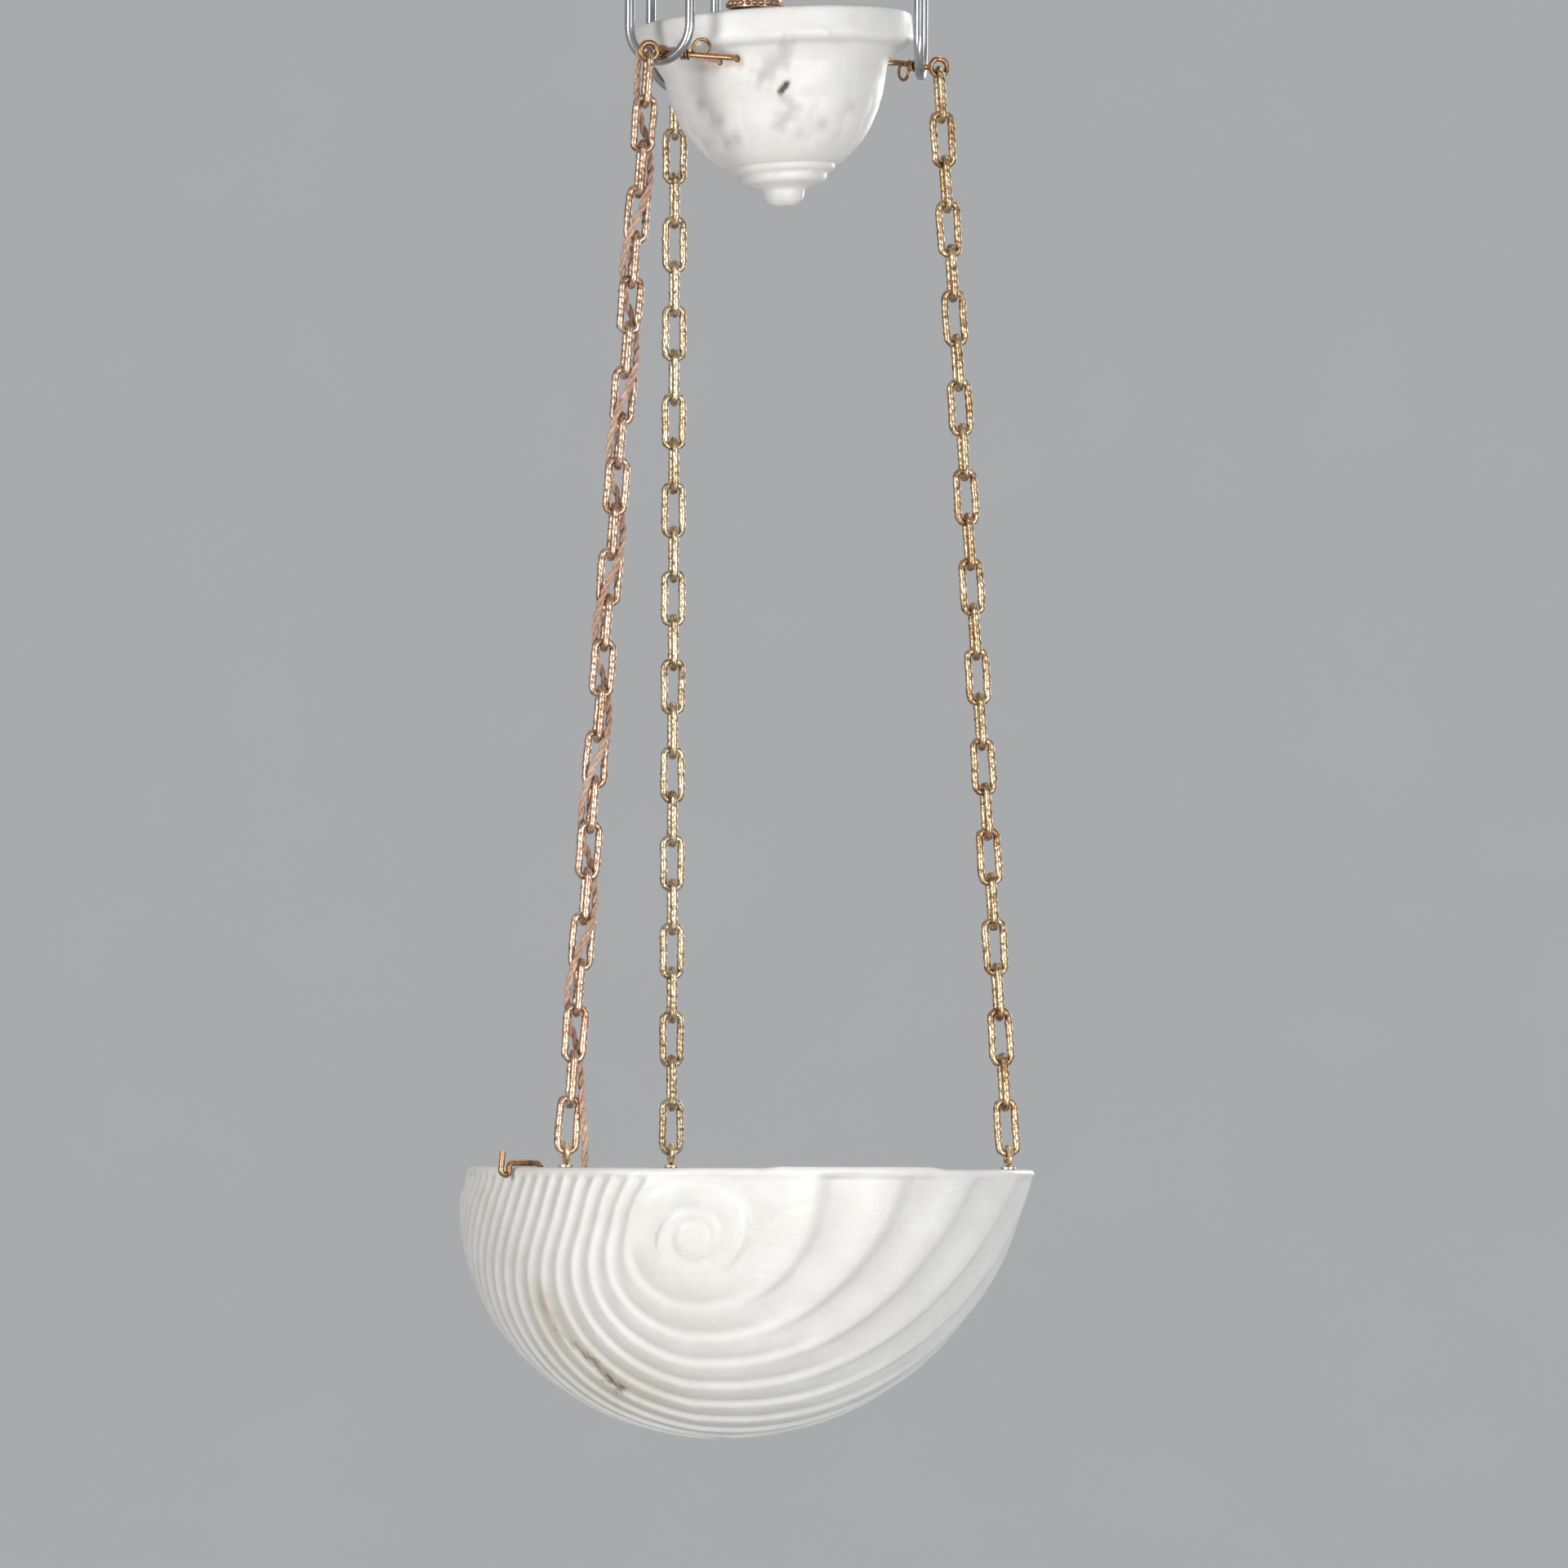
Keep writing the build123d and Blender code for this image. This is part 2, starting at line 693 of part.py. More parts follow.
with BuildPart() as binding_wires:
    for side in CHAINS:
        crossing, inward = arm_run(side)
        centre = crossing + inward * (binding_from_loop[side] - binding_height / 2)
        upward = Vector(0, 0, 1)
        places = [
            helix_point(centre, inward, upward, step / binding_steps_per_turn)
            for step in range(binding_turns * binding_steps_per_turn + 1)
        ]
        with BuildLine() as coil_path:
            for (start, heading), (end, end_heading) in zip(places, places[1:]):
                middle, middle_heading = biarc_middle(start, heading, end, end_heading)
                TangentArc(start, middle, tangent=heading)
                TangentArc(middle, end, tangent=middle_heading)
        with BuildSketch(Plane(origin=places[0][0], z_dir=places[0][1])):
            Circle(binding_wire / 2)
        sweep(path=coil_path.line)
        for index, (place, heading) in enumerate(places[:-binding_steps_per_turn]):
            next_turn = places[index + binding_steps_per_turn][0]
            least_coil_gap = min(least_coil_gap, (next_turn - place).length - binding_wire)
print("binding wire least gap between turns", round(least_coil_gap, 2))
save(binding_wires.part, "binding_wires")

# ---------------------------------------------------------------- chains

link = wire_loop(link_wire, link_length, link_width, link_corner)
last_link = {"right": link_count - 2, "rear": link_count - 1, "front_left": link_count - 1}

for side in CHAINS:
    with BuildPart() as top_link:
        with Locations(link_plane(side, 0)):
            add(link)
    save(top_link.part, f"top_link_{side}")
    with BuildPart() as chain:
        with Locations(*[link_plane(side, index) for index in range(1, last_link[side] + 1)]):
            add(link)
    save(chain.part, f"chain_{side}")

with BuildPart() as bottom_link_right:
    with Locations(link_plane("right", link_count - 1)):
        add(link)
save(bottom_link_right.part, "bottom_link_right")

# ---------------------------------------------------------------- bowl


def bowl_middle_x(depth):
    """The carved bowl's middle drifts to the left towards its bottom."""
    return -bowl_drift * (1 - (1 - depth / bowl_depth) ** 2)


def inner_radius_at(depth):
    inner_depth = bowl_depth - bowl_floor
    return (bowl_radius - bowl_wall) * math.sqrt(1 - (depth / inner_depth) ** 2)


def inner_wall_point(azimuth, depth, offset):
    """A point this far inside the inner wall, in the upright plane through the axis."""
    middle = Vector(bowl_middle_x(depth), 0, rim_z - depth)
    return middle + polar(inner_radius_at(depth) - offset, azimuth)


def bowl_sections(radius, depth):
    sections = []
    for index in range(bowl_section_count):
        angle = math.radians(bowl_last_angle) * index / (bowl_section_count - 1)
        section_depth = depth * math.sin(angle)
        sections.append((section_depth, radius * math.cos(angle)))
    return sections


with BuildPart() as bowl:
    for depth, radius in bowl_sections(bowl_radius, bowl_depth):
        with BuildSketch(Plane(origin=(bowl_middle_x(depth), 0, rim_z - depth))):
            Circle(radius)
    loft()
    for depth, radius in bowl_sections(bowl_radius - bowl_wall, bowl_depth - bowl_floor):
        with BuildSketch(Plane(origin=(bowl_middle_x(depth), 0, rim_z - depth))):
            Circle(radius)
    loft(mode=Mode.SUBTRACT)
    with BuildSketch(Plane.XY.offset(rim_z)):
        with PolarLocations(bottom_radius, 3, start_angle=bottom_azimuth):
            Circle(sleeve_radius + bore_gap)
    extrude(amount=-sleeve_length - bore_gap, mode=Mode.SUBTRACT)
save(bowl.part, "bowl")

with BuildPart() as eye_sleeves:
    with BuildSketch(Plane.XY.offset(rim_z)):
        with PolarLocations(bottom_radius, 3, start_angle=bottom_azimuth):
            Circle(sleeve_radius)
            Circle(rim_eye_wire / 2 + bore_gap, mode=Mode.SUBTRACT)
    extrude(amount=-sleeve_length)
save(eye_sleeves.part, "eye_sleeves")

# The right chain's last link rests in its eye. The other two eyes are set a little
# higher, so that their links hang free in them while the bowl swings.
eye_lift = {"right": 0.0, "rear": rim_eye_lift, "front_left": rim_eye_lift}

with BuildPart() as rim_eyes:
    for side, foot in bottom_flat.items():
        ring_z = rim_eye_z + eye_lift[side]
        with Locations(Plane(origin=(foot.X, foot.Y, ring_z), x_dir=(0, 0, 1), z_dir=across)):
            Torus(rim_eye_radius, rim_eye_wire / 2)
        with BuildSketch(Plane(origin=(foot.X, foot.Y, rim_z - rim_eye_drop))):
            Circle(rim_eye_wire / 2)
        extrude(amount=ring_z - rim_eye_radius - rim_z + rim_eye_drop)
        with BuildSketch(Plane(origin=(foot.X, foot.Y, rim_z))):
            Circle(rim_eye_collar_radius)
        extrude(amount=rim_eye_collar_thickness)
save(rim_eyes.part, "rim_eyes")

# ---------------------------------------------------------------- lampholder

holder_top_z = rim_z - holder_top
holder_bottom_z = holder_top_z - holder_height
holder_inner = holder_radius - holder_wall
shade_ring_radius = holder_radius + shade_ring_width
bracket_ring_radius = holder_radius + bracket_ring_width
dome_bottom_z = holder_bottom_z - holder_dome_height
bracket_z = rim_z - bracket_drop

with BuildPart() as holder_shell:
    with BuildSketch(Plane.XY.offset(holder_bottom_z)):
        Circle(holder_radius)
        Circle(holder_inner, mode=Mode.SUBTRACT)
    extrude(amount=holder_height)
save(holder_shell.part, "holder_shell")

with BuildPart() as holder_dome:
    with BuildSketch(upright_plane(0, 0, holder_bottom_z)):
        with BuildLine():
            Polyline(
                (holder_inner, 0),
                (holder_radius, 0),
                (holder_radius, -2),
            )
            ThreePointArc(
                (holder_radius, -2),
                (holder_radius * 0.8, -holder_dome_height * 0.72),
                (holder_nipple_radius, -holder_dome_height),
            )
            Polyline(
                (holder_nipple_radius, -holder_dome_height),
                (holder_nipple_radius, -holder_dome_height - holder_nipple_length),
                (flex_diameter / 2 + running_gap, -holder_dome_height - holder_nipple_length),
                (flex_diameter / 2 + running_gap, -holder_dome_height + holder_wall),
            )
            ThreePointArc(
                (flex_diameter / 2 + running_gap, -holder_dome_height + holder_wall),
                (holder_inner * 0.8, -holder_dome_height * 0.66),
                (holder_inner, -2),
            )
            Line((holder_inner, -2), (holder_inner, 0))
        make_face()
    revolve(axis=Axis((0, 0, 0), (0, 0, 1)))
save(holder_dome.part, "holder_dome")

bulb_tip_z = holder_top_z + 2.0 - bulb_cap_height
core_top_z = holder_top_z - 1.0

with BuildPart() as holder_core:
    with BuildSketch(Plane.XY.offset(holder_bottom_z)):
        Circle(holder_inner - bore_gap)
    extrude(amount=core_top_z - holder_bottom_z)
    with BuildSketch(Plane.XY.offset(holder_bottom_z + core_floor)):
        Circle(liner_radius + bore_gap)
    extrude(amount=core_top_z - holder_bottom_z - core_floor, mode=Mode.SUBTRACT)
    with BuildSketch(Plane.XY.offset(holder_bottom_z)):
        Circle(flex_diameter / 2 + running_gap)
    extrude(amount=core_floor, mode=Mode.SUBTRACT)
save(holder_core.part, "holder_core")

with BuildPart() as holder_liner:
    with BuildSketch(Plane.XY.offset(holder_bottom_z + core_floor)):
        Circle(liner_radius)
        Circle(bulb_cap_radius + thread_gap, mode=Mode.SUBTRACT)
    extrude(amount=core_top_z - holder_bottom_z - core_floor)
save(holder_liner.part, "holder_liner")

with BuildPart() as holder_contact:
    with BuildSketch(Plane.XY.offset(holder_bottom_z + core_floor)):
        Circle(4)
    extrude(amount=bulb_tip_z - thread_gap - holder_bottom_z - core_floor)
save(holder_contact.part, "holder_contact")

with BuildPart() as shade_rings:
    for ring_z in (
        bracket_z + bracket_ring_thickness / 2 + bore_gap,
        bracket_z - bracket_ring_thickness / 2 - bore_gap - shade_ring_thickness,
    ):
        with BuildSketch(Plane.XY.offset(ring_z)):
            Circle(shade_ring_radius)
            Circle(holder_radius + bore_gap, mode=Mode.SUBTRACT)
        extrude(amount=shade_ring_thickness)
save(shade_rings.part, "shade_rings")

# The bracket is a rod that hooks over the rim and ends in a ring round the lampholder.
bracket_out = polar(1, bracket_azimuth)
rim_inner = bowl_radius - bowl_wall
bracket_top_z = rim_z + bracket_wire / 2 + running_gap
bracket_gap = bracket_wire / 2 + 0.5
claw_root = bowl_radius + bracket_wire / 2 + 0.6
bracket_route = [
    bracket_out * (bracket_ring_radius - 1.5) + Vector(0, 0, bracket_z),
    inner_wall_point(bracket_azimuth, bracket_drop, bracket_gap + 10.0),
    inner_wall_point(bracket_azimuth, bracket_drop - 26.0, bracket_gap + 1.5),
    bracket_out * (rim_inner - bracket_gap - 1.0) + Vector(0, 0, bracket_top_z),
    bracket_out * claw_root + Vector(0, 0, bracket_top_z),
    bracket_out * (claw_root + 1.0) + Vector(0, 0, rim_z - 6.5),
    bracket_out * (claw_root + 6.5) + Vector(0, 0, rim_z - 3.5),
    bracket_out * (claw_root + 5.0) + Vector(0, 0, rim_z + bracket_claw_height),
]

with BuildPart() as lamp_bracket:
    add(rod(bracket_route, [8.0, 16.0, 5.0, 2.6, 2.1, 2.1], bracket_wire / 2))
    with BuildSketch(Plane.XY.offset(bracket_z - bracket_ring_thickness / 2)):
        Circle(bracket_ring_radius)
    extrude(amount=bracket_ring_thickness)
    with BuildSketch(Plane.XY.offset(bracket_z - bracket_wire)):
        Circle(holder_radius + bore_gap)
    extrude(amount=2 * bracket_wire, mode=Mode.SUBTRACT)
    with BuildSketch(Plane.XY.offset(bracket_z + bracket_ring_thickness / 2)):
        Circle(shade_ring_radius + 1.5)
    extrude(amount=bracket_wire, mode=Mode.SUBTRACT)
    with BuildSketch(Plane.XY.offset(bracket_z - bracket_ring_thickness / 2)):
        Circle(shade_ring_radius + 1.5)
    extrude(amount=-bracket_wire, mode=Mode.SUBTRACT)
save(lamp_bracket.part, "lamp_bracket")

# ---------------------------------------------------------------- bulb

cap_top_z = bulb_tip_z + bulb_cap_height
glass_foot_z = cap_top_z - bulb_glass_in_cap
bulb_middle_z = glass_foot_z + bulb_centre_rise
bulb_flare_z = bulb_tip_z + bulb_tip_height

with BuildPart() as bulb_cap:
    with BuildSketch(Plane.XY.offset(bulb_flare_z)):
        Circle(bulb_cap_radius)
    extrude(amount=bulb_cap_height - bulb_tip_height)
    with BuildSketch(Plane.XY.offset(bulb_flare_z + bulb_cap_wall)):
        Circle(bulb_cap_radius - bulb_cap_wall)
    extrude(amount=bulb_cap_height, mode=Mode.SUBTRACT)
    with BuildSketch(Plane.XY.offset(bulb_flare_z)):
        Circle(bulb_tip_flare + bore_gap)
    extrude(amount=2 * bulb_cap_wall, mode=Mode.SUBTRACT)
save(bulb_cap.part, "bulb_cap")

with BuildPart() as bulb_tip:
    with BuildSketch(Plane.XY.offset(bulb_tip_z)):
        Circle(bulb_tip_radius)
    extrude(amount=bulb_tip_height / 3)
    with BuildSketch(Plane.XY.offset(bulb_tip_z + bulb_tip_height / 3)):
        Circle(bulb_tip_radius)
    with BuildSketch(Plane.XY.offset(bulb_flare_z)):
        Circle(bulb_tip_flare)
    loft()
    with BuildSketch(Plane.XY.offset(bulb_flare_z)):
        Circle(bulb_tip_flare)
    extrude(amount=bulb_tip_collar)
save(bulb_tip.part, "bulb_tip")

# The glass is a thin ball that narrows to an open neck inside the cap.
shoulder_radius = bulb_neck_radius + bulb_shoulder
neck_reach = math.sqrt(bulb_radius**2 - shoulder_radius**2)
inner_ball = bulb_radius - bulb_glass_wall
inner_neck = bulb_neck_radius - bulb_glass_wall
inner_shoulder = inner_neck + bulb_shoulder
inner_reach = math.sqrt(inner_ball**2 - inner_shoulder**2)
glass_foot = glass_foot_z - bulb_middle_z

with BuildPart() as bulb_glass:
    with BuildSketch(upright_plane(0, 0, bulb_middle_z)):
        with BuildLine():
            ThreePointArc(
                (0, bulb_radius),
                (bulb_radius, 0),
                (shoulder_radius, -neck_reach),
            )
            Polyline(
                (shoulder_radius, -neck_reach),
                (bulb_neck_radius, -neck_reach - bulb_shoulder_drop),
                (bulb_neck_radius, glass_foot),
                (inner_neck, glass_foot),
                (inner_neck, -inner_reach - bulb_shoulder_drop),
                (inner_shoulder, -inner_reach),
            )
            ThreePointArc(
                (inner_shoulder, -inner_reach),
                (inner_ball, 0),
                (0, inner_ball),
            )
            Line((0, inner_ball), (0, bulb_radius))
        make_face()
    revolve(axis=Axis((0, 0, 0), (0, 0, 1)))
save(bulb_glass.part, "bulb_glass")

stem_foot_z = bulb_flare_z + bulb_tip_collar + running_gap
stem_head_z = bulb_middle_z - 4.0
stem_outline = [
    (0, stem_foot_z),
    (inner_neck - 2.0, stem_foot_z),
    (inner_neck - 2.0, stem_foot_z + 3.0),
    (3.0, stem_foot_z + 12.0),
    (1.6, stem_head_z),
    (0, stem_head_z),
]
with BuildPart() as bulb_stem:
    add(turned(stem_outline, upright_plane(0, 0, 0)))
save(bulb_stem.part, "bulb_stem")

filament_z = stem_head_z + 4.5
filament_route = [
    Vector(-1.0, 0, stem_head_z + 0.3),
    Vector(-8.5, 0, filament_z),
    Vector(-5.0, 0, filament_z + 7.0),
    Vector(5.0, 0, filament_z + 7.0),
    Vector(8.5, 0, filament_z),
    Vector(1.0, 0, stem_head_z + 0.3),
]
with BuildPart() as bulb_filament:
    add(rod(filament_route, corner_radii(filament_route), 0.35))
save(bulb_filament.part, "bulb_filament")

# ---------------------------------------------------------------- flex

# From the terminal block down the stem, out through the bell and along the arm, over
# the steel loop's bend, and down beside the chain's first link.
flex_out = canopy_outward(flex_hole_azimuth)
front_crossing, front_inward = arm_run("front_left")
behind_arm = Vector(0, 0, 1).cross(front_inward).normalized()
arm_side = (arm_wire + flex_diameter) / 2 + binding_wire + flex_arm_room
link_side = (link_wire + flex_diameter) / 2 + flex_link_room
canopy_route = [
    Vector(terminal_start - 0.1, 0, -6.0),
    Vector(0, 0, -6.0),
    Vector(0, 0, hub_bottom_z - 14.0),
    bell_middle + flex_out * 30.0,
    bell_middle + flex_out * (bell_radius_at_arms + 6.0),
    front_crossing + front_inward * 26.0 + behind_arm * arm_side + Vector(0, 0, 0.6),
    front_crossing + behind_arm * arm_side + Vector(0, 0, 4.0),
    chain_point("front_left", -8.5, -link_side, link_side),
    chain_point("front_left", flex_top_end, -link_side, link_side),
]
with BuildPart() as flex_canopy:
    add(flex("flex_canopy", canopy_route))
save(flex_canopy.part, "flex_canopy")

# The flex winds round the chain, one turn in four links, in the corners between links.
flex_weave = (link_wire + flex_diameter) / 2 + flex_weave_room
weave_signs = [(-1, 1), (1, 1), (1, -1), (-1, -1)]
first_joint_drop = first_link_drop + link_half - (link_wire + link_gap) / 2


def weave_corner(index):
    sideways_sign, backwards_sign = weave_signs[index % 4]
    drop = first_joint_drop + index * link_pitch
    return chain_point("front_left", drop, sideways_sign * flex_weave, backwards_sign * flex_weave)


def weave_between(index, share):
    return weave_corner(index) * (1 - share) + weave_corner(index + 1) * share


# Its last piece leaves the chain beside the last link, towards the bowl's inside.
lead_side = (link_width + flex_diameter) / 2 + flex_lead_room
chain_route = [weave_between(0, 0.27)]
chain_route += [weave_corner(index) for index in range(1, link_count - 1)]
chain_route += [chain_point("front_left", chain_length - flex_chain_end, lead_side - 2.0, -3.4)]
with BuildPart() as flex_chain:
    add(flex("flex_chain", chain_route))
save(flex_chain.part, "flex_chain")

# Inside the bowl the flex runs over the rim, down the wall and up into the lampholder.
lead_start = bottom_flat["front_left"] + across * lead_side - along * 0.5
lead_azimuth = math.degrees(math.atan2(lead_start.Y, lead_start.X))
lead_gap = flex_diameter / 2 + 0.8
lead_out = polar(1, lead_azimuth)
nipple_z = dome_bottom_z - holder_nipple_length
bowl_route = [
    lead_start + Vector(0, 0, rim_z + 12.0),
    lead_out * (rim_inner - lead_gap - 1.0) + Vector(0, 0, rim_z - 3.0),
    inner_wall_point(lead_azimuth, 22.0, lead_gap),
    inner_wall_point(lead_azimuth, 58.0, lead_gap),
    inner_wall_point(lead_azimuth, 92.0, lead_gap),
    inner_wall_point(lead_azimuth, 122.0, lead_gap),
    inner_wall_point(lead_azimuth, 143.0, lead_gap),
    polar(18.0, lead_azimuth, rim_z - 147.0),
    Vector(0, 0, rim_z - 136.0),
    Vector(0, 0, holder_bottom_z + 2.0),
]
with BuildPart() as flex_bowl:
    add(flex("flex_bowl", bowl_route))
save(flex_bowl.part, "flex_bowl")

print("rim height", round(rim_z, 3))
print("chain pivots", {side: [round(v, 3) for v in point] for side, point in top_points.items()})
print("link pitch", link_pitch)
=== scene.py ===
import json
import math

import bpy
import numpy as np
from mathutils import Matrix, Vector


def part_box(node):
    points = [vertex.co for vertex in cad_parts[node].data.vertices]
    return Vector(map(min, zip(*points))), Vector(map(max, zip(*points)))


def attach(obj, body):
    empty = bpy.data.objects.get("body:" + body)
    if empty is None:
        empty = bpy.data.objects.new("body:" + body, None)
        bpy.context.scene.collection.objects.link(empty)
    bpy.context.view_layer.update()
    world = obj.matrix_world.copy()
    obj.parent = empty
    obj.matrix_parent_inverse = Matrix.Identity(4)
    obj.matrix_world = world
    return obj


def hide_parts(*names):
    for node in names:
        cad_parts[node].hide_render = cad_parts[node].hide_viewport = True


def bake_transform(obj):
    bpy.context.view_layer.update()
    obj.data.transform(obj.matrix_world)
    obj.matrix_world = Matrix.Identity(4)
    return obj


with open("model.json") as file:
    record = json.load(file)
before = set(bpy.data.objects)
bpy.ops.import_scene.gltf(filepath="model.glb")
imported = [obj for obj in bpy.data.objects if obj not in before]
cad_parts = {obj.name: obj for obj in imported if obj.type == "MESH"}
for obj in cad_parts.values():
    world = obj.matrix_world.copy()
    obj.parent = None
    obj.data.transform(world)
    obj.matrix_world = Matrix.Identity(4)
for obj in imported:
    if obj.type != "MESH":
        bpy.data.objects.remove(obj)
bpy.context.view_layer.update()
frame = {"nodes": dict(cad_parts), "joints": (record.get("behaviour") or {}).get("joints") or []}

# An alabaster bowl pendant. Sizes are in millimetres unless a comment says otherwise, and MM makes
# metres of them. Sizes that the CAD also has are repeated here with its values.
MM = 0.001
TAU = 2 * math.pi
QUARTER = math.pi / 2

# ---- places from the frame

joints = {joint["name"]: joint for joint in frame["joints"]}
SIDES = {"right": 0.0, "rear": 120.0, "front_left": 240.0}
across = Vector(joints["swing_front_back"]["axis"])
along = Vector(joints["swing_side"]["axis"])
upwards = Vector((0, 0, 1))
rim_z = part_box("bowl")[1].z


def polar(radius, azimuth, z=0.0):
    """A point in metres from a radius in millimetres, an azimuth in degrees and a height in metres."""
    angle = math.radians(azimuth)
    return Vector((radius * MM * math.cos(angle), radius * MM * math.sin(angle), z))


top_points = {
    "right": Vector(joints["swing_front_back"]["pos_m"]),
    "rear": Vector(joints["rear_front_back"]["pos_m"]),
    "front_left": Vector(joints["front_left_front_back"]["pos_m"]),
}
right_foot = Vector(joints["level_front_back"]["pos_m"])
bottom_points = {}
for side, degrees in SIDES.items():
    bottom_points[side] = Matrix.Rotation(math.radians(degrees), 3, "Z") @ right_foot


def chain_frame(side):
    """Down the chain, and its two level directions squared up to its slope."""
    down = (bottom_points[side] - top_points[side]).normalized()
    sideways = (across - down * across.dot(down)).normalized()
    return down, sideways, sideways.cross(down)


def chain_point(side, drop, sideways_offset=0.0, backwards_offset=0.0):
    down, sideways, backwards = chain_frame(side)
    offset = down * drop + sideways * sideways_offset + backwards * backwards_offset
    return top_points[side] + offset * MM


# ---- small tools


def smooth(low, high, value):
    share = np.clip((value - low) / (high - low), 0, 1)
    return share * share * (3 - 2 * share)


def hump(value, middle, width):
    return np.exp(-(((value - middle) / width) ** 2))


def unit(direction):
    return direction / np.linalg.norm(direction)


def put(name, data):
    thing = bpy.data.objects.new(name, data)
    bpy.context.scene.collection.objects.link(thing)
    return thing


def new_object(name, verts, faces, material):
    mesh = bpy.data.meshes.new(name)
    mesh.from_pydata([tuple(v) for v in verts], [], faces)
    mesh.update()
    mesh.polygons.foreach_set("use_smooth", [True] * len(mesh.polygons))
    mesh.materials.append(material)
    return put(name, mesh)


def grid_faces(rows, columns, first=0, closed=False):
    """Quads of a grid that closes round its columns, and if it is closed round its rows too."""
    faces = []
    for row in range(rows if closed else rows - 1):
        here, ahead = first + row * columns, first + (row + 1) % rows * columns
        for column in range(columns):
            after = (column + 1) % columns
            faces.append((here + column, here + after, ahead + after, ahead + column))
    return faces


# ---- materials


class Nodes:
    """A principled material, and short ways to add the nodes that drive it."""

    def __init__(self, name, **sockets):
        self.material = bpy.data.materials.new(name)
        self.material.use_nodes = True
        self.tree = self.material.node_tree
        self.shader = self.tree.nodes["Principled BSDF"]
        self.place = self.tree.nodes.new("ShaderNodeTexCoord").outputs["Object"]
        for socket, value in sockets.items():
            self.shader.inputs[socket.replace("_", " ")].default_value = value

    def node(self, kind, **settings):
        node = self.tree.nodes.new(kind)
        for key, value in settings.items():
            setattr(node, key, value)
        return node

    def link(self, source, target):
        self.tree.links.new(source, target)

    def scaled(self, x, y, z):
        mapping = self.node("ShaderNodeMapping")
        mapping.inputs["Scale"].default_value = (x, y, z)
        self.link(self.place, mapping.inputs["Vector"])
        return mapping.outputs["Vector"]

    def noise(self, scale, detail=4.0, rough=0.55, distortion=0.0, place=None):
        noise = self.node("ShaderNodeTexNoise")
        noise.inputs["Scale"].default_value = scale
        noise.inputs["Detail"].default_value = detail
        noise.inputs["Roughness"].default_value = rough
        noise.inputs["Distortion"].default_value = distortion
        self.link(place or self.place, noise.inputs["Vector"])
        return noise.outputs["Fac"]

    def cells(self, scale):
        cells = self.node("ShaderNodeTexVoronoi")
        cells.inputs["Scale"].default_value = scale
        self.link(self.place, cells.inputs["Vector"])
        return cells.outputs["Distance"]

    def ramp(self, source, stops):
        ramp = self.node("ShaderNodeValToRGB")
        elements = ramp.color_ramp.elements
        while len(elements) < len(stops):
            elements.new(0.5)
        for element, (position, color) in zip(elements, stops):
            element.position = position
            element.color = (*color, 1.0)
        self.link(source, ramp.inputs["Fac"])
        return ramp.outputs["Color"]

    def span(self, source, low, high, out_low, out_high):
        """Maps low to out_low and high to out_high, and holds the ends."""
        span = self.node("ShaderNodeMapRange")
        sockets = ("From Min", "From Max", "To Min", "To Max")
        for socket, value in zip(sockets, (low, high, out_low, out_high)):
            span.inputs[socket].default_value = value
        self.link(source, span.inputs["Value"])
        return span.outputs["Result"]

    def times(self, first, second):
        product = self.node("ShaderNodeMath", operation="MULTIPLY")
        self.link(first, product.inputs[0])
        self.link(second, product.inputs[1])
        return product.outputs[0]

    def mix(self, factor, first, second, blend="MIX"):
        """Mixes two colours, each a node's output or a plain colour."""
        mix = self.node("ShaderNodeMix", data_type="RGBA", blend_type=blend)
        sockets = (mix.inputs[0], mix.inputs[6], mix.inputs[7])
        for source, socket in zip((factor, first, second), sockets):
            if isinstance(source, bpy.types.NodeSocket):
                self.link(source, socket)
            elif isinstance(source, tuple):
                socket.default_value = (*source, 1.0)
            else:
                socket.default_value = source
        return mix.outputs[2]

    def attribute(self, name):
        return self.node("ShaderNodeAttribute", attribute_name=name).outputs["Fac"]

    def color(self, source):
        self.link(source, self.shader.inputs["Base Color"])

    def roughness(self, source, lowest, highest, low=0.3, high=0.7):
        """Roughness from lowest to highest as the source goes from low to high."""
        self.link(self.span(source, low, high, lowest, highest), self.shader.inputs["Roughness"])

    def bump(self, *layers):
        """Stacked bumps, each a height source, a strength and a depth in millimetres."""
        normal = None
        for source, strength, depth in layers:
            bump = self.node("ShaderNodeBump")
            bump.inputs["Strength"].default_value = strength
            bump.inputs["Distance"].default_value = depth * MM
            self.link(source, bump.inputs["Height"])
            if normal is not None:
                self.link(normal, bump.inputs["Normal"])
            normal = bump.outputs["Normal"]
        self.link(normal, self.shader.inputs["Normal"])


# The stone's marks are layers painted on the meshes, each with its colour.
STONE_MARKS = {
    "tint": (0.66, 0.61, 0.47),
    # grey: streaks and pits on the canopy, and painted shade in the bowl's grooves and a painted shadow
    # under its rim band
    "grey": (0.50, 0.48, 0.47),
    "rust": (0.50, 0.27, 0.12),
    # vein: the bowl's dark vein, and painted shade inside the canopy's slot
    "vein": (0.10, 0.085, 0.06),
}


def paint_marks(thing, **layers):
    """Writes the stone's layers on a mesh, with nothing in those that aren't given."""
    for name in STONE_MARKS:
        values = layers.get(name, np.zeros(len(thing.data.vertices)))
        layer = thing.data.attributes.new(name, "FLOAT", "POINT")
        layer.data.foreach_set("value", np.asarray(values, np.float32))


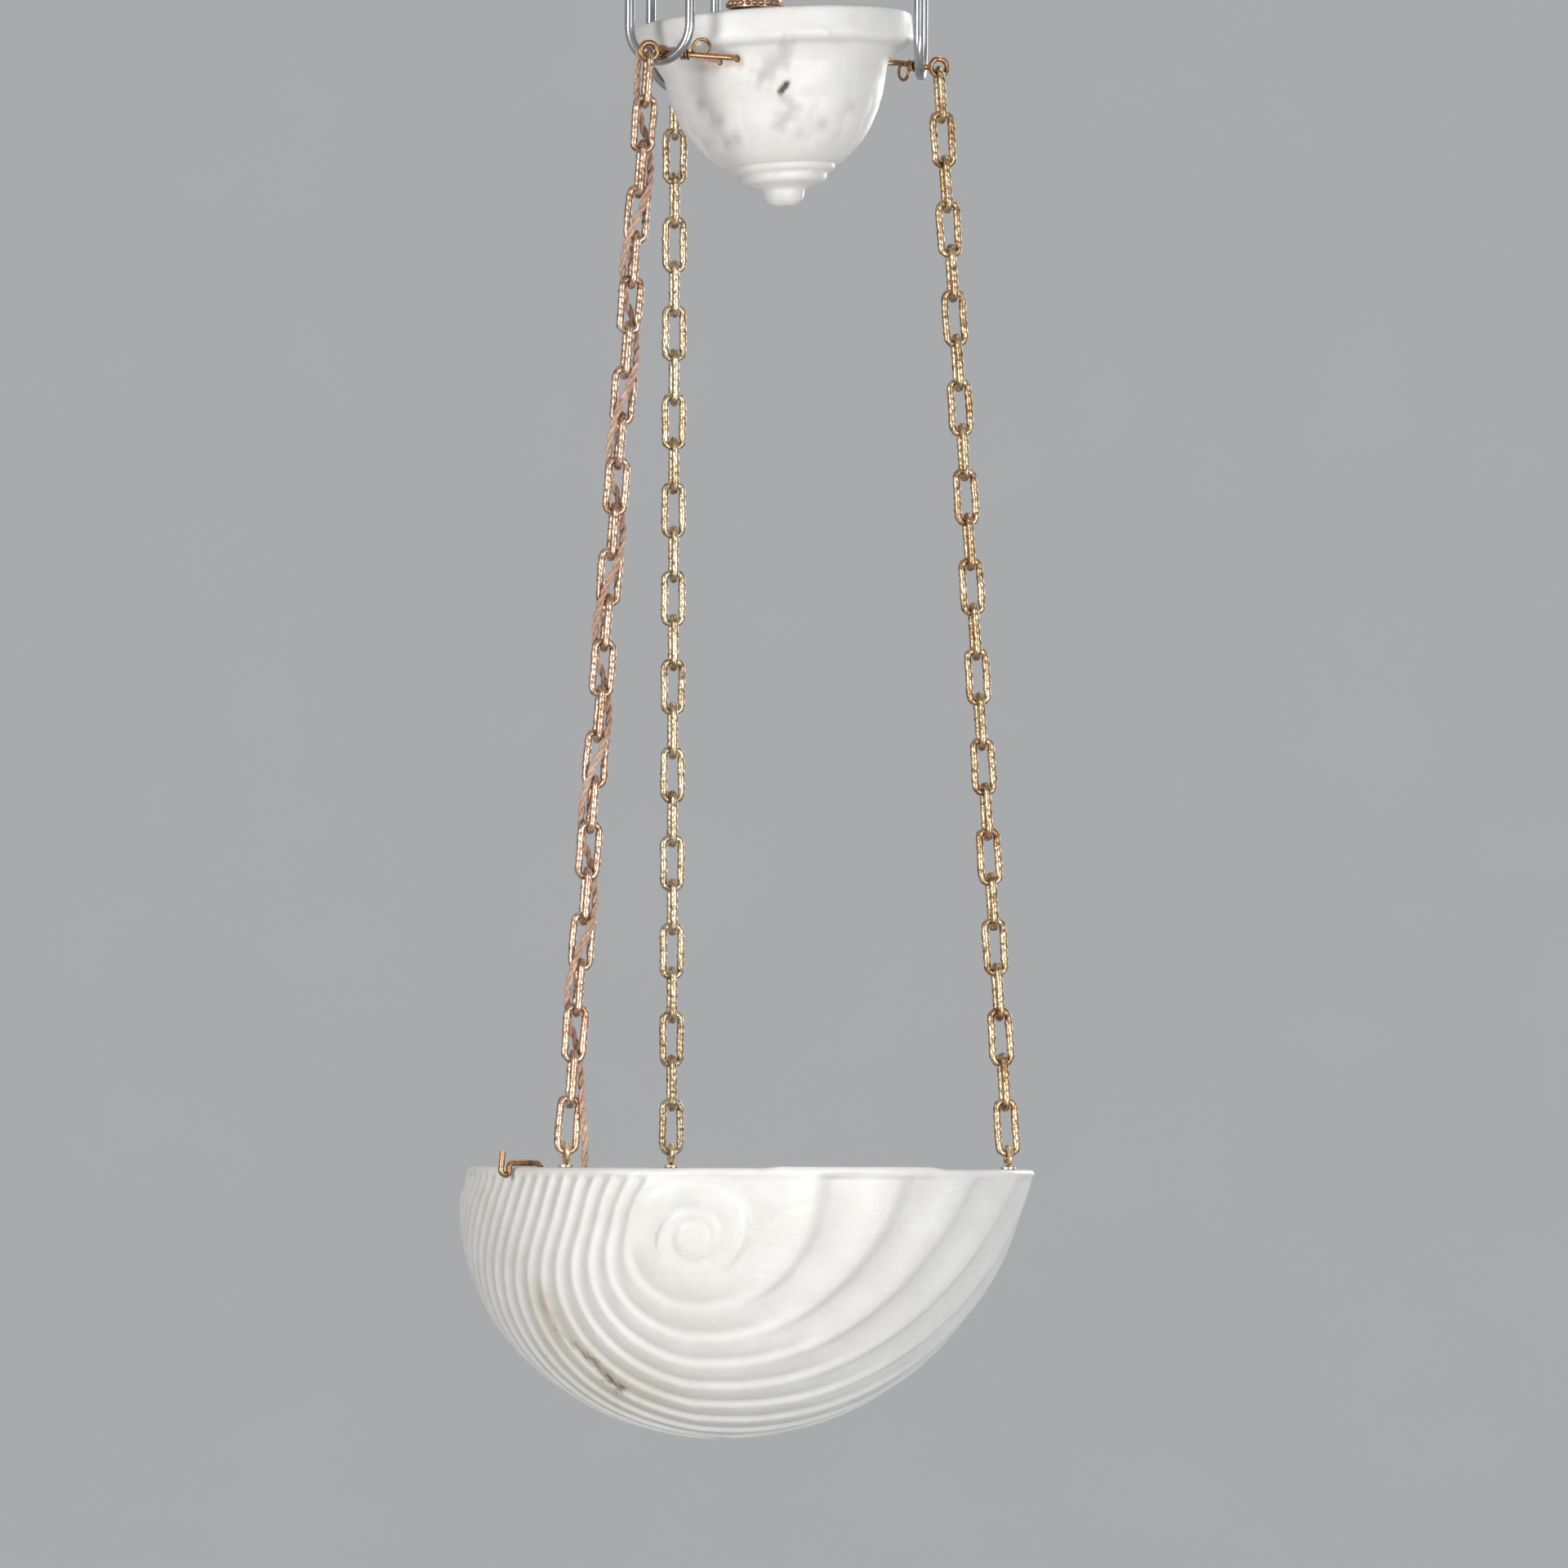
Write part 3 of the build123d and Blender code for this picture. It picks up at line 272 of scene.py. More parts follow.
def alabaster(name):
    """Cloudy white stone with a few faint threads and the painted marks."""
    m = Nodes(name, Subsurface_Weight=0.22, Subsurface_Scale=0.006, Specular_IOR_Level=0.42)
    m.shader.inputs["Subsurface Radius"].default_value = (1.0, 0.86, 0.7)
    clouds = [(0.30, (0.78, 0.768, 0.735)), (0.52, (0.84, 0.833, 0.81)), (0.75, (0.88, 0.878, 0.862))]
    tone = m.ramp(m.noise(11.0, 6.0, 0.6, 0.8), clouds)
    milk = m.ramp(m.noise(46.0, 5.0, 0.65, 0.4), [(0.42, (0.94, 0.935, 0.92)), (0.62, (1.0, 1.0, 1.0))])
    tone = m.mix(0.8, tone, milk, "MULTIPLY")
    folds = m.noise(8.5, 9.0, 0.62, 2.6)
    thread = m.times(m.span(folds, 0.488, 0.5, 0.0, 1.0), m.span(folds, 0.5, 0.512, 1.0, 0.0))
    faint = m.times(thread, m.span(m.noise(5.0, 2.0), 0.5, 0.62, 0.0, 0.16))
    tone = m.mix(faint, tone, (0.55, 0.50, 0.42))
    for layer, color in STONE_MARKS.items():
        tone = m.mix(m.attribute(layer), tone, color)
    m.color(tone)
    m.roughness(m.noise(70.0, 5.0), 0.30, 0.46)
    m.bump((m.noise(150.0, 4.0, 0.6), 0.30, 0.5), (m.noise(900.0, 3.0), 0.12, 0.12))
    return m.material


def worn_metal(name, bright, middle, dark, hammer, dirt):
    """Old metal with a hammered skin, brighter high spots and dark tarnish in the low ones."""
    m = Nodes(name, Metallic=1.0)
    tone = m.ramp(m.noise(38.0, 5.0, 0.6, 0.5), [(0.33, middle), (0.5, bright), (0.68, middle)])
    speck = m.noise(260.0, 4.0, 0.7)
    tone = m.mix(m.span(speck, dirt - 0.04, dirt + 0.12, 0.0, 0.85), tone, dark)
    edges = m.node("ShaderNodeNewGeometry").outputs["Pointiness"]
    tone = m.mix(m.span(edges, 0.42, 0.49, 0.75, 0.0), tone, dark)
    tone = m.mix(m.span(edges, 0.515, 0.56, 0.0, 0.6), tone, bright)
    m.color(tone)
    m.roughness(speck, 0.26, 0.5)
    m.bump((m.cells(330.0), hammer, 0.45), (m.noise(1400.0, 2.0), 0.15, 0.05))
    return m.material


def brushed_steel(name):
    m = Nodes(name, Metallic=1.0)
    streaks = m.noise(1.0, 5.0, 0.6, 0.0, m.scaled(900.0, 900.0, 25.0))
    tone = m.ramp(m.noise(30.0, 4.0), [(0.35, (0.36, 0.36, 0.37)), (0.65, (0.52, 0.525, 0.54))])
    m.color(m.mix(m.span(streaks, 0.3, 0.7, 0.0, 0.35), tone, (0.36, 0.36, 0.37)))
    m.roughness(streaks, 0.2, 0.38)
    m.bump((streaks, 0.12, 0.08))
    return m.material


def painted_wood(name):
    """Off-white paint over turned wood, thin enough to show the grain, with a few small chips."""
    m = Nodes(name)
    grain = m.noise(1.0, 6.0, 0.6, 1.2, m.scaled(12.0, 150.0, 12.0))
    stops = [(0.3, (0.60, 0.57, 0.50)), (0.55, (0.70, 0.675, 0.61)), (0.75, (0.745, 0.725, 0.665))]
    chips = m.span(m.noise(90.0, 5.0), 0.70, 0.73, 0.0, 0.8)
    m.color(m.mix(chips, m.ramp(grain, stops), (0.30, 0.19, 0.10)))
    m.roughness(m.noise(60.0), 0.42, 0.6)
    m.bump((grain, 0.22, 0.25), (m.noise(700.0, 2.0), 0.1, 0.05))
    return m.material


def mottled(name, tone_scale, tones, rough_scale, roughness, bump, **sockets):
    """A tone that varies a little. bump is its noise's scale and detail, its strength and its depth."""
    m = Nodes(name, **sockets)
    m.color(m.ramp(m.noise(tone_scale, 5.0), tones))
    m.roughness(m.noise(rough_scale), *roughness)
    bump_scale, detail, strength, depth = bump
    m.bump((m.noise(bump_scale, detail), strength, depth))
    return m.material


def bulb_glass(name):
    m = Nodes(name, Transmission_Weight=1.0, IOR=1.46)
    m.color(m.ramp(m.noise(40.0, 3.0), [(0.4, (0.90, 0.92, 0.90)), (0.7, (0.98, 0.98, 0.97))]))
    m.roughness(m.noise(55.0, 6.0), 0.01, 0.12, 0.45, 0.75)
    m.bump((m.noise(30.0, 2.0), 0.08, 0.2))
    return m.material


def braided_flex(name):
    """Copper-pink cotton braid, with a fine over-and-under weave and rubbed high spots."""
    m = Nodes(name, Sheen_Weight=0.35, Sheen_Roughness=0.45)
    weave = m.cells(1500.0)
    fade = [(0.3, (0.50, 0.29, 0.19)), (0.5, (0.70, 0.45, 0.32)), (0.7, (0.82, 0.61, 0.47))]
    tone = m.ramp(m.noise(26.0, 4.0, 0.6), fade)
    tone = m.mix(m.span(weave, 0.25, 0.7, 0.0, 0.6), tone, (0.22, 0.10, 0.06))
    m.color(m.mix(m.span(m.noise(210.0, 4.0), 0.56, 0.68, 0.0, 0.55), tone, (0.82, 0.66, 0.52)))
    m.roughness(m.noise(500.0), 0.5, 0.75)
    m.bump((weave, 0.6, 0.25), (m.noise(2500.0, 2.0), 0.3, 0.08))
    return m.material


stone = alabaster("alabaster")
# The bright, middle and dark tones of each metal, how hard it is hammered and where its dirt starts.
METALS = {
    "brass_right": ((0.98, 0.80, 0.53), (0.72, 0.43, 0.21), (0.13, 0.055, 0.022), 0.5, 0.51),
    "brass_rear": ((1.0, 0.87, 0.62), (0.76, 0.55, 0.31), (0.14, 0.07, 0.03), 0.5, 0.52),
    "brass_front_left": ((1.0, 0.81, 0.62), (0.80, 0.49, 0.32), (0.18, 0.075, 0.04), 0.5, 0.53),
    "brass_brown": ((0.52, 0.31, 0.16), (0.24, 0.12, 0.055), (0.045, 0.022, 0.01), 0.3, 0.55),
    "brass_holder": ((0.72, 0.55, 0.27), (0.52, 0.37, 0.16), (0.13, 0.08, 0.03), 0.08, 0.55),
    "brass_hub": ((0.80, 0.53, 0.38), (0.55, 0.31, 0.19), (0.14, 0.06, 0.03), 0.2, 0.55),
    "cap_metal": ((0.80, 0.80, 0.79), (0.66, 0.66, 0.65), (0.36, 0.35, 0.33), 0.05, 0.66),
}
metals = {name: worn_metal(name, *settings) for name, settings in METALS.items()}
steel = brushed_steel("loop_steel")
LEAD_TONES = [(0.35, (0.17, 0.175, 0.185)), (0.65, (0.34, 0.345, 0.36))]
LEAD_BUMP = (420.0, 4.0, 0.35, 0.2)
dull_lead = mottled("dull_lead", 180.0, LEAD_TONES, 300.0, (0.42, 0.66), LEAD_BUMP, Metallic=1.0)
paint = painted_wood("painted_wood")
GLAZE_TONES = [(0.35, (0.70, 0.68, 0.61)), (0.65, (0.79, 0.78, 0.735))]
GLAZE_COAT = {"Coat_Weight": 0.6, "Coat_Roughness": 0.08}
GLAZE_BUMP = (160.0, 3.0, 0.12, 0.15)
glaze = mottled("glazed_porcelain", 60.0, GLAZE_TONES, 90.0, (0.18, 0.32), GLAZE_BUMP, **GLAZE_COAT)
PLASTIC_TONES = [(0.35, (0.022, 0.02, 0.018)), (0.7, (0.05, 0.045, 0.04))]
PLASTIC_BUMP = (800.0, 3.0, 0.2, 0.08)
bakelite = mottled("black_plastic_skin", 130.0, PLASTIC_TONES, 240.0, (0.34, 0.55), PLASTIC_BUMP)
clear_glass = bulb_glass("clear_glass")
cotton = braided_flex("cotton_flex")

NODE_MATERIALS = [
    (paint, ["ceiling_block"]),
    (steel, ["ceiling_hooks", "steel_loop_right", "steel_loop_rear", "steel_loop_front_left"]),
    (steel, ["bulb_filament"]),
    (glaze, ["terminal_block", "holder_core"]),
    (metals["brass_hub"], ["stem_flange", "stem_tube", "hub_cup"]),
    (metals["brass_holder"], ["terminal_screws", "stem_flange_screws", "arm_washers", "arm_nuts"]),
    (metals["brass_holder"], ["holder_shell", "holder_liner", "holder_contact", "holder_dome"]),
    (bakelite, ["hub_bush", "shade_rings"]),
    (metals["brass_brown"], ["canopy_arm_right", "canopy_arm_rear", "canopy_arm_front_left"]),
    (metals["brass_brown"], ["binding_wires", "lamp_bracket"]),
    (metals["brass_right"], ["rim_eyes"]),
    (dull_lead, ["eye_sleeves", "bulb_tip"]),
    (clear_glass, ["bulb_glass", "bulb_stem"]),
    (metals["cap_metal"], ["bulb_cap"]),
]
for material, node_names in NODE_MATERIALS:
    for node_name in node_names:
        node = frame["nodes"][node_name]
        if not node.material_slots:
            node.data.materials.append(material)
        for material_slot in node.material_slots:
            material_slot.material = material

# ---- links

LINK_WIRE = 4.2
LINK_LENGTH = 36.65
LINK_WIDTH = 15.4
LINK_CORNER = 4.4
LINK_PITCH = 27.95
FIRST_LINK_DROP = 12.125
LINK_COUNT = 24
LINK_RINGS = 84
LINK_SIDES = 12
# Hammering: a dent every HAMMER_STEP, and thicknesses as shares of the wire's radius.
HAMMER_STEP = 4.1
LINK_SLIMNESS = 0.955
HAMMER_DEPTH = 0.045
SIDE_SWELL = 0.13
FLAT_DEPTH = 0.05
FACET_DEPTH = 0.035
# How far the side bars wander, and the share of MOST_SHIFT by which a link is off its middle.
SIDE_WANDER = 0.16
MOST_SHIFT, SHIFT_SHARE = 0.35, 0.3


def link_outline():
    """Places, outward directions and arc lengths round the link's middle line, in its own plane."""
    half_width = (LINK_WIDTH - LINK_WIRE) / 2
    half_height = (LINK_LENGTH - LINK_WIRE) / 2
    flat = half_width - LINK_CORNER
    upright = half_height - LINK_CORNER
    bend = LINK_CORNER * math.pi / 2
    pieces = [flat, bend, 2 * upright, bend, 2 * flat, bend, 2 * upright, bend, flat]
    corners = {1: (flat, upright, 90), 3: (flat, -upright, 0), 5: (-flat, -upright, -90)}
    corners[7] = (-flat, upright, 180)
    places = []
    for ring in range(LINK_RINGS):
        run = sum(pieces) * ring / LINK_RINGS
        piece, rest = 0, run
        while rest > pieces[piece]:
            rest -= pieces[piece]
            piece += 1
        if piece in corners:
            x, y, start = corners[piece]
            angle = math.radians(start) - rest / LINK_CORNER
            out = (math.cos(angle), math.sin(angle))
            place = (x + LINK_CORNER * out[0], y + LINK_CORNER * out[1])
        elif piece in (0, 8):
            place = (rest if piece == 0 else rest - flat, half_height)
            out = (0, 1)
        elif piece == 2:
            place, out = (half_width, upright - rest), (1, 0)
        elif piece == 4:
            place, out = (flat - rest, -half_height), (0, -1)
        else:
            place, out = (-half_width, -upright + rest), (-1, 0)
        places.append((place, out, run))
    return places, half_height


def link_verts(seed):
    """One link of hammered wire: flats and dents about every four millimetres."""
    chance = np.random.default_rng(seed)
    phase = chance.uniform(0, TAU, 6)
    shift = chance.uniform(-MOST_SHIFT, MOST_SHIFT) * SHIFT_SHARE
    places, half_height = link_outline()
    verts = []
    for (x, y), (out_x, out_y), run in places:
        side_bar = 1 - smooth(0.55, 0.95, abs(y) / half_height)
        beat = math.sin(TAU * run / HAMMER_STEP + phase[0] + 0.8 * math.sin(run * 0.31 + phase[1]))
        radius = LINK_WIRE / 2 * (LINK_SLIMNESS + HAMMER_DEPTH * beat + SIDE_SWELL * side_bar)
        wander = SIDE_WANDER * side_bar * math.sin(run * 0.23 + phase[2])
        for side in range(LINK_SIDES):
            around = TAU * side / LINK_SIDES
            face = FLAT_DEPTH * math.sin(3 * around + run * 0.9 + phase[3])
            face += FACET_DEPTH * math.sin(2 * around - run * 1.7 + phase[4])
            reach = radius * (1 + face)
            outward = reach * math.cos(around) + wander
            verts.append((x + outward * out_x, y + outward * out_y, reach * math.sin(around) + shift))
    return np.array(verts)


def link_mesh(side, index):
    """The link's vertices in metres, at its place on the chain. Every other link is turned."""
    down, sideways, backwards = chain_frame(side)
    width_direction = backwards if index % 2 == 0 else sideways
    normal = width_direction.cross(down)
    local = link_verts(101 * index + 7 * int(SIDES[side]))
    middle = np.array(chain_point(side, FIRST_LINK_DROP + index * LINK_PITCH))
    axes = np.array([width_direction, down * -1, normal])
    return middle + local @ axes * MM


def links(name, side, indices, body):
    verts, faces = [], []
    for count, index in enumerate(indices):
        faces += grid_faces(LINK_RINGS, LINK_SIDES, count * LINK_RINGS * LINK_SIDES, closed=True)
        verts.append(link_mesh(side, index))
    piece = new_object(name + "_hammered", np.concatenate(verts), faces, metals[f"brass_{side}"])
    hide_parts(name)
    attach(piece, body)


for side in SIDES:
    last = LINK_COUNT - 1 if side == "right" else LINK_COUNT
    links(f"top_link_{side}", side, [0], f"top_link_{side}")
    links(f"chain_{side}", side, range(1, last), f"chain_{side}")
links("bottom_link_right", "right", [LINK_COUNT - 1], "bottom_link_right")

# ---- bowl

BOWL_RADIUS = 177.5
BOWL_DEPTH = 168.5
BOWL_WALL = 18.0
BOWL_FLOOR = 16.0
BOWL_DRIFT = 14.8
BOWL_COLUMNS = 620
BOWL_ROWS = 132
INNER_ROWS = 16
TOP_ANGLE, LOW_ANGLE = 89.2, 1.55
INNER_TOP_ANGLE, INNER_LOW_ANGLE = 3.5, 88.6
# The spiral's eye, across and below the rim. Distances from it are taken on a ball of MEAN_RADIUS.
EYE_X, EYE_DEPTH = -33.6, 42.9
EYE_DISC = 10.5
MEAN_RADIUS = 173.0
# Distance of ridge 0 from the eye and the step to the next one, to the left, below and to the right.
LEFT_START, LEFT_STEP = 41.0, 10.7
BELOW_START, BELOW_STEP = 50.0, 21.8
RIGHT_START, RIGHT_STEP, RIGHT_SPREAD = 65.0, 44.0, 3.0
BEND_POWER = 1.5
FURTHEST_BEND = 1.6
TOP_BEND = 0.45
UPRIGHT_BLEND = 0.35
FIRST_RIDGE, LAST_RIDGE, HALVINGS = -0.95, 45.0, 26
# Carving depths, and the share of the way from one crest to the next at which each profile turns.
# FLUTE_FADE is the share of their depth that the flutes lose far from the eye.
SPIRAL_DEPTH, SPIRAL_EDGE, SPIRAL_END = 1.5, 0.16, 0.95
NARROW_DEPTH = 1.75
SHINGLE_DEPTH, SHINGLE_LIP = 2.0, 0.76
FLUTE_DEPTH, FLUTE_VALLEY, FLUTE_FADE = 3.2, 0.27, 0.4
STEPPED_DEPTH, STEPPED_LIP = 1.8, 0.8
HOLLOW_DEPTH, HOLLOW_VALLEY = 2.2, 0.22
WEDGE_DEPTH = 0.5
EYE_GROOVE_DEPTH = 0.9
# Painted shade: grey laid down the carved grooves, and a painted shadow under the rim band.
GROOVE_SHADE_GREY = 0.24
SHADE_GREY = 0.5
RIM_BAND = 4.6
BAND_STEP, BAND_GROOVE = 0.55, 0.5
UNEVENNESS = 0.35
# The rim's outside is worn back at the left.
WORN_DEPTH, WORN_WIDTH = 2.6, 0.42
# How the photograph's pixels map to millimetres: the bowl's middle, its rim and the scale.
PX_PER_MM = 1.975
AXIS_PX = 919
RIM_PX = 1430
# Perspective draws low marks a little lower, and the canopy's a little higher and further right.
MARK_STRETCH = (1.0, 1.03)
CANOPY_MARK_SHIFT = (2.0, 5.0)


def bowl_middle(depth):
    return -BOWL_DRIFT * (1 - (1 - depth / BOWL_DEPTH) ** 2)


def outer_direction(x, depth):
    """The direction from the bowl's middle to its front surface, on a unit ball."""
    level = np.sqrt(1 - (depth / BOWL_DEPTH) ** 2)
    u_x = (x - bowl_middle(depth)) / BOWL_RADIUS
    u_y = -np.sqrt(np.maximum(level**2 - u_x**2, 0))
    return np.array([u_x, u_y, -depth / BOWL_DEPTH])


eye_way = unit(outer_direction(EYE_X, EYE_DEPTH))
left_way = unit(np.array([-1.0, 0, 0]) + eye_way * eye_way[0])
below_way = np.cross(left_way, eye_way)
below_way = below_way * (-1 if below_way[2] > 0 else 1)


def photo_place(x_px, y_px):
    """Millimetres across and above the rim of a pixel in the photograph."""
    return (x_px - AXIS_PX) / PX_PER_MM, (RIM_PX - y_px) / PX_PER_MM


def ridge_radius(ridge, bearing):
    """How far from the eye this ridge runs, at a bearing that is 0 to the left and QUARTER below."""
    left = LEFT_START + LEFT_STEP * ridge
    below = BELOW_START + BELOW_STEP * ridge
    right = RIGHT_START + RIGHT_STEP * ridge + RIGHT_SPREAD * ridge**2
    quarter = np.clip(bearing / QUARTER, -UPRIGHT_BLEND, 1)
    lower_left = left * (below / left) ** quarter
    beyond = np.clip((bearing - QUARTER) / QUARTER, 0, FURTHEST_BEND)
    return lower_left * (right / below) ** (beyond**BEND_POWER)


def ridge_number(radius, bearing):
    """The ridge count at each point outside the spiral, found by halving, and upright above the eye."""
    low = np.full_like(radius, FIRST_RIDGE)
    high = np.full_like(radius, LAST_RIDGE)
    for _ in range(HALVINGS):
        middle = (low + high) / 2
        too_far = ridge_radius(middle, bearing) > radius
        high = np.where(too_far, middle, high)
        low = np.where(too_far, low, middle)
    upright = (radius * np.maximum(np.cos(bearing), 0) ** TOP_BEND - LEFT_START) / LEFT_STEP
    lower = smooth(-UPRIGHT_BLEND, UPRIGHT_BLEND, bearing)
    return upright * (1 - lower) + (low + high) / 2 * lower


def spiral_cut(share):
    """The spiral's groove: sharp just outside each turn's crest, then a slow climb to the next."""
    climb = 1 - smooth(SPIRAL_EDGE, SPIRAL_END, share)
    return SPIRAL_DEPTH * np.where(share < SPIRAL_EDGE, smooth(0, SPIRAL_EDGE, share), climb)


def outside_cut(ridge, radius, at_left, at_right):
    """Narrow ridges at the left, shingles below and broad flutes at the right."""
    share = ridge - np.floor(ridge)
    narrow = NARROW_DEPTH * (1 - (0.5 + 0.5 * np.cos(TAU * share)) ** 1.25)
    falling = (share / SHINGLE_LIP) ** 1.5
    rising = 1 - smooth(SHINGLE_LIP, 1.0, share)
    shingle = SHINGLE_DEPTH * np.where(share < SHINGLE_LIP, falling, rising)
    valley = 0.5 - 0.5 * np.cos(math.pi * np.clip(share / FLUTE_VALLEY, 0, 1))
    past_valley = np.clip((share - FLUTE_VALLEY) / (1 - FLUTE_VALLEY), 0, 1)
    climb = 0.5 + 0.5 * np.cos(math.pi * past_valley)
    flute = FLUTE_DEPTH * np.where(share < FLUTE_VALLEY, valley, climb)
    flute = flute * (1 - FLUTE_FADE * smooth(150, 250, radius))
    return narrow * at_left + flute * at_right + shingle * (1 - at_left) * (1 - at_right)


def between_cut(wide, bearing, at_right):
    """The surface between the spiral's last turn and ridge 0, where wide goes from 0 to 1."""
    rise = 1 - smooth(STEPPED_LIP, 1.0, wide)
    stepped = STEPPED_DEPTH * np.where(wide < STEPPED_LIP, (wide / STEPPED_LIP) ** 1.8, rise)
    rise = 1 - smooth(HOLLOW_VALLEY, 1.0, wide)
    hollow = HOLLOW_DEPTH * np.where(wide < HOLLOW_VALLEY, smooth(0, HOLLOW_VALLEY, wide), rise)
    between = stepped * (1 - at_right) + hollow * at_right
    lower = smooth(0.0, 0.6, bearing)
    return between * lower + spiral_cut(wide) * (1 - lower)


def carving(directions):
    """Depth of the carving below the bowl's plain surface, and how far each point is down a groove,
    which sets the painted shade in the grooves.
    """
    radius = np.arccos(np.clip(directions @ eye_way, -1, 1)) * MEAN_RADIUS
    bearing = np.arctan2(directions @ below_way, directions @ left_way)
    bearing = np.where(bearing < -QUARTER, bearing + TAU, bearing)
    at_right = smooth(2.0, 2.75, bearing)
    at_left = 1 - smooth(0.25, 1.05, bearing)
    ridge = ridge_number(radius, bearing)
    outside = outside_cut(ridge, radius, at_left, at_right)

    turn = np.log2(np.maximum(radius, 1) / LEFT_START) - bearing / TAU
    inside = spiral_cut(turn - np.floor(turn))
    inside = inside * smooth(EYE_DISC - 1.0, EYE_DISC + 1.5, radius)
    inside = np.maximum(inside, EYE_GROOVE_DEPTH * hump(radius, EYE_DISC, 1.1))
    first_ridge = ridge_radius(0.0, bearing)
    inner_turn = LEFT_START * 2 ** (bearing / TAU - 1)
    wide = np.clip(np.log(np.maximum(radius, 1) / inner_turn) / np.log(first_ridge / inner_turn), 0, 1)
    between = between_cut(wide, bearing, at_right)
    low_right = np.where((bearing >= 0) & (radius > inner_turn), between, inside)
    depth = np.where(ridge >= 0, outside, low_right)
    wedge = (bearing < 0) & (ridge < 0) & (turn > 0)
    depth = np.where(wedge, WEDGE_DEPTH * np.sin(math.pi * np.clip(turn / 0.25, 0, 1)), depth)
    # The second value is the painted shade in the grooves, deepest where the carving is.
    return depth, np.clip(depth / (1.7 + 1.3 * at_right), 0, 1) ** 1.6


def segment_distance(points, start, end):
    """Distance of points across and up the front from a line between two of them."""
    start, end = np.array(start), np.array(end)
    run = end - start
    share = np.clip(((points - start) @ run) / (run @ run), 0, 1)
    return np.linalg.norm(points - start - share[:, None] * run, axis=1)


def spot(places, x_px, y_px, wide, high):
    """A soft round mark at a pixel of the photograph, with its half sizes in millimetres."""
    x, z = photo_place(x_px, y_px)
    return np.exp(-(((places[:, 0] - x) / wide) ** 2 + ((places[:, 1] - z) / high) ** 2))


# Marks seen in the photograph, placed in its pixels.
VEIN_PX = [(669, 1592), (682, 1615), (702, 1646), (725, 1661), (737, 1676), (752, 1691), (765, 1706)]
VEIN_WIDTHS = [3.4, 2.0, 1.7, 3.0, 2.0, 4.0]
VEIN_DARKNESS = [0.16, 0.26, 0.32, 0.66, 0.42, 0.8]
# x, y, half width, half height and strength of each beige cloud
TINT_PX = [(800, 1712, 36, 16, 0.6), (770, 1700, 75, 36, 0.6), (695, 1640, 36, 50, 0.5)]
TINT_PX += [(840, 1590, 70, 60, 0.22)]
# x, half width and strength of each patch of painted shadow under the rim band
SHADE_PX = [(757, 24, 0.8), (1016, 14, 0.9), (1091, 24, 0.9), (870, 60, 0.3), (960, 60, 0.35)]
SHADE_PX += [(1140, 30, 0.3)]


def bowl_marks(places, front):
    """The dark vein at the lower left, the beige clouds, and the painted shadow in grey patches under
    the rim band.
    """
    x, z = places[:, 0], places[:, 1]
    ragged = 1 + 0.7 * np.sin(x * 1.9) * np.sin(z * 1.3 + 1.0)
    shift_x = 1.3 * np.sin(z * 0.42 + 0.5) + 0.7 * np.sin(z * 1.1)
    shift_z = 0.9 * np.sin(x * 0.7 + 1.2) + 0.5 * np.sin(x * 1.7)
    wandered = places + np.stack([shift_x, shift_z], 1)
    vein, tint, shade = np.zeros((3, len(places)))
    points = [photo_place(*pixel) for pixel in VEIN_PX]
    for start, end, width, darkness in zip(points, points[1:], VEIN_WIDTHS, VEIN_DARKNESS):
        reach = segment_distance(wandered, start, end)
        vein = np.maximum(vein, darkness * hump(reach, 0, width * 0.6 * ragged))
        tint = np.maximum(tint, 0.75 * hump(reach, 0, 2.6 * width))
    for x_px, y_px, wide, high, strength in TINT_PX:
        tint = np.maximum(tint, strength * spot(places, x_px, y_px, wide / PX_PER_MM, high / PX_PER_MM))
    # Painted shadow: a grey line just under the rim band, strongest in the listed patches.
    band_shadow_line = hump(z, -RIM_BAND - 0.9, 1.0)
    for x_px, wide, strength in SHADE_PX:
        middle = photo_place(x_px, RIM_PX)[0]
        shade = np.maximum(shade, strength * band_shadow_line * hump(x, middle, wide / PX_PER_MM))
    return vein * front, tint * front, shade * front


def bowl_columns():
    """Azimuths round the bowl, closer together at the front left, where the ridges are finest."""
    finest, extra = math.radians(228), 2.0
    azimuth = TAU * np.linspace(0, 1, 4001)
    weight = 1 + extra * np.clip(np.cos(azimuth - finest), 0, 1) ** 1.5
    count = np.concatenate([[0], np.cumsum((weight[1:] + weight[:-1]) / 2)])
    return np.interp(np.arange(BOWL_COLUMNS) / BOWL_COLUMNS, count / count[-1], azimuth)


def wavy_rim(azimuth):
    """The rim's top is a little uneven, and stands a little higher at the right."""
    x = BOWL_RADIUS * np.cos(azimuth)
    lift = 1.3 * smooth(8, 22, x) * (1 - smooth(112, 124, x))
    return lift - 0.35 + 0.3 * np.sin(3 * azimuth + 0.7) * np.sin(7 * azimuth)


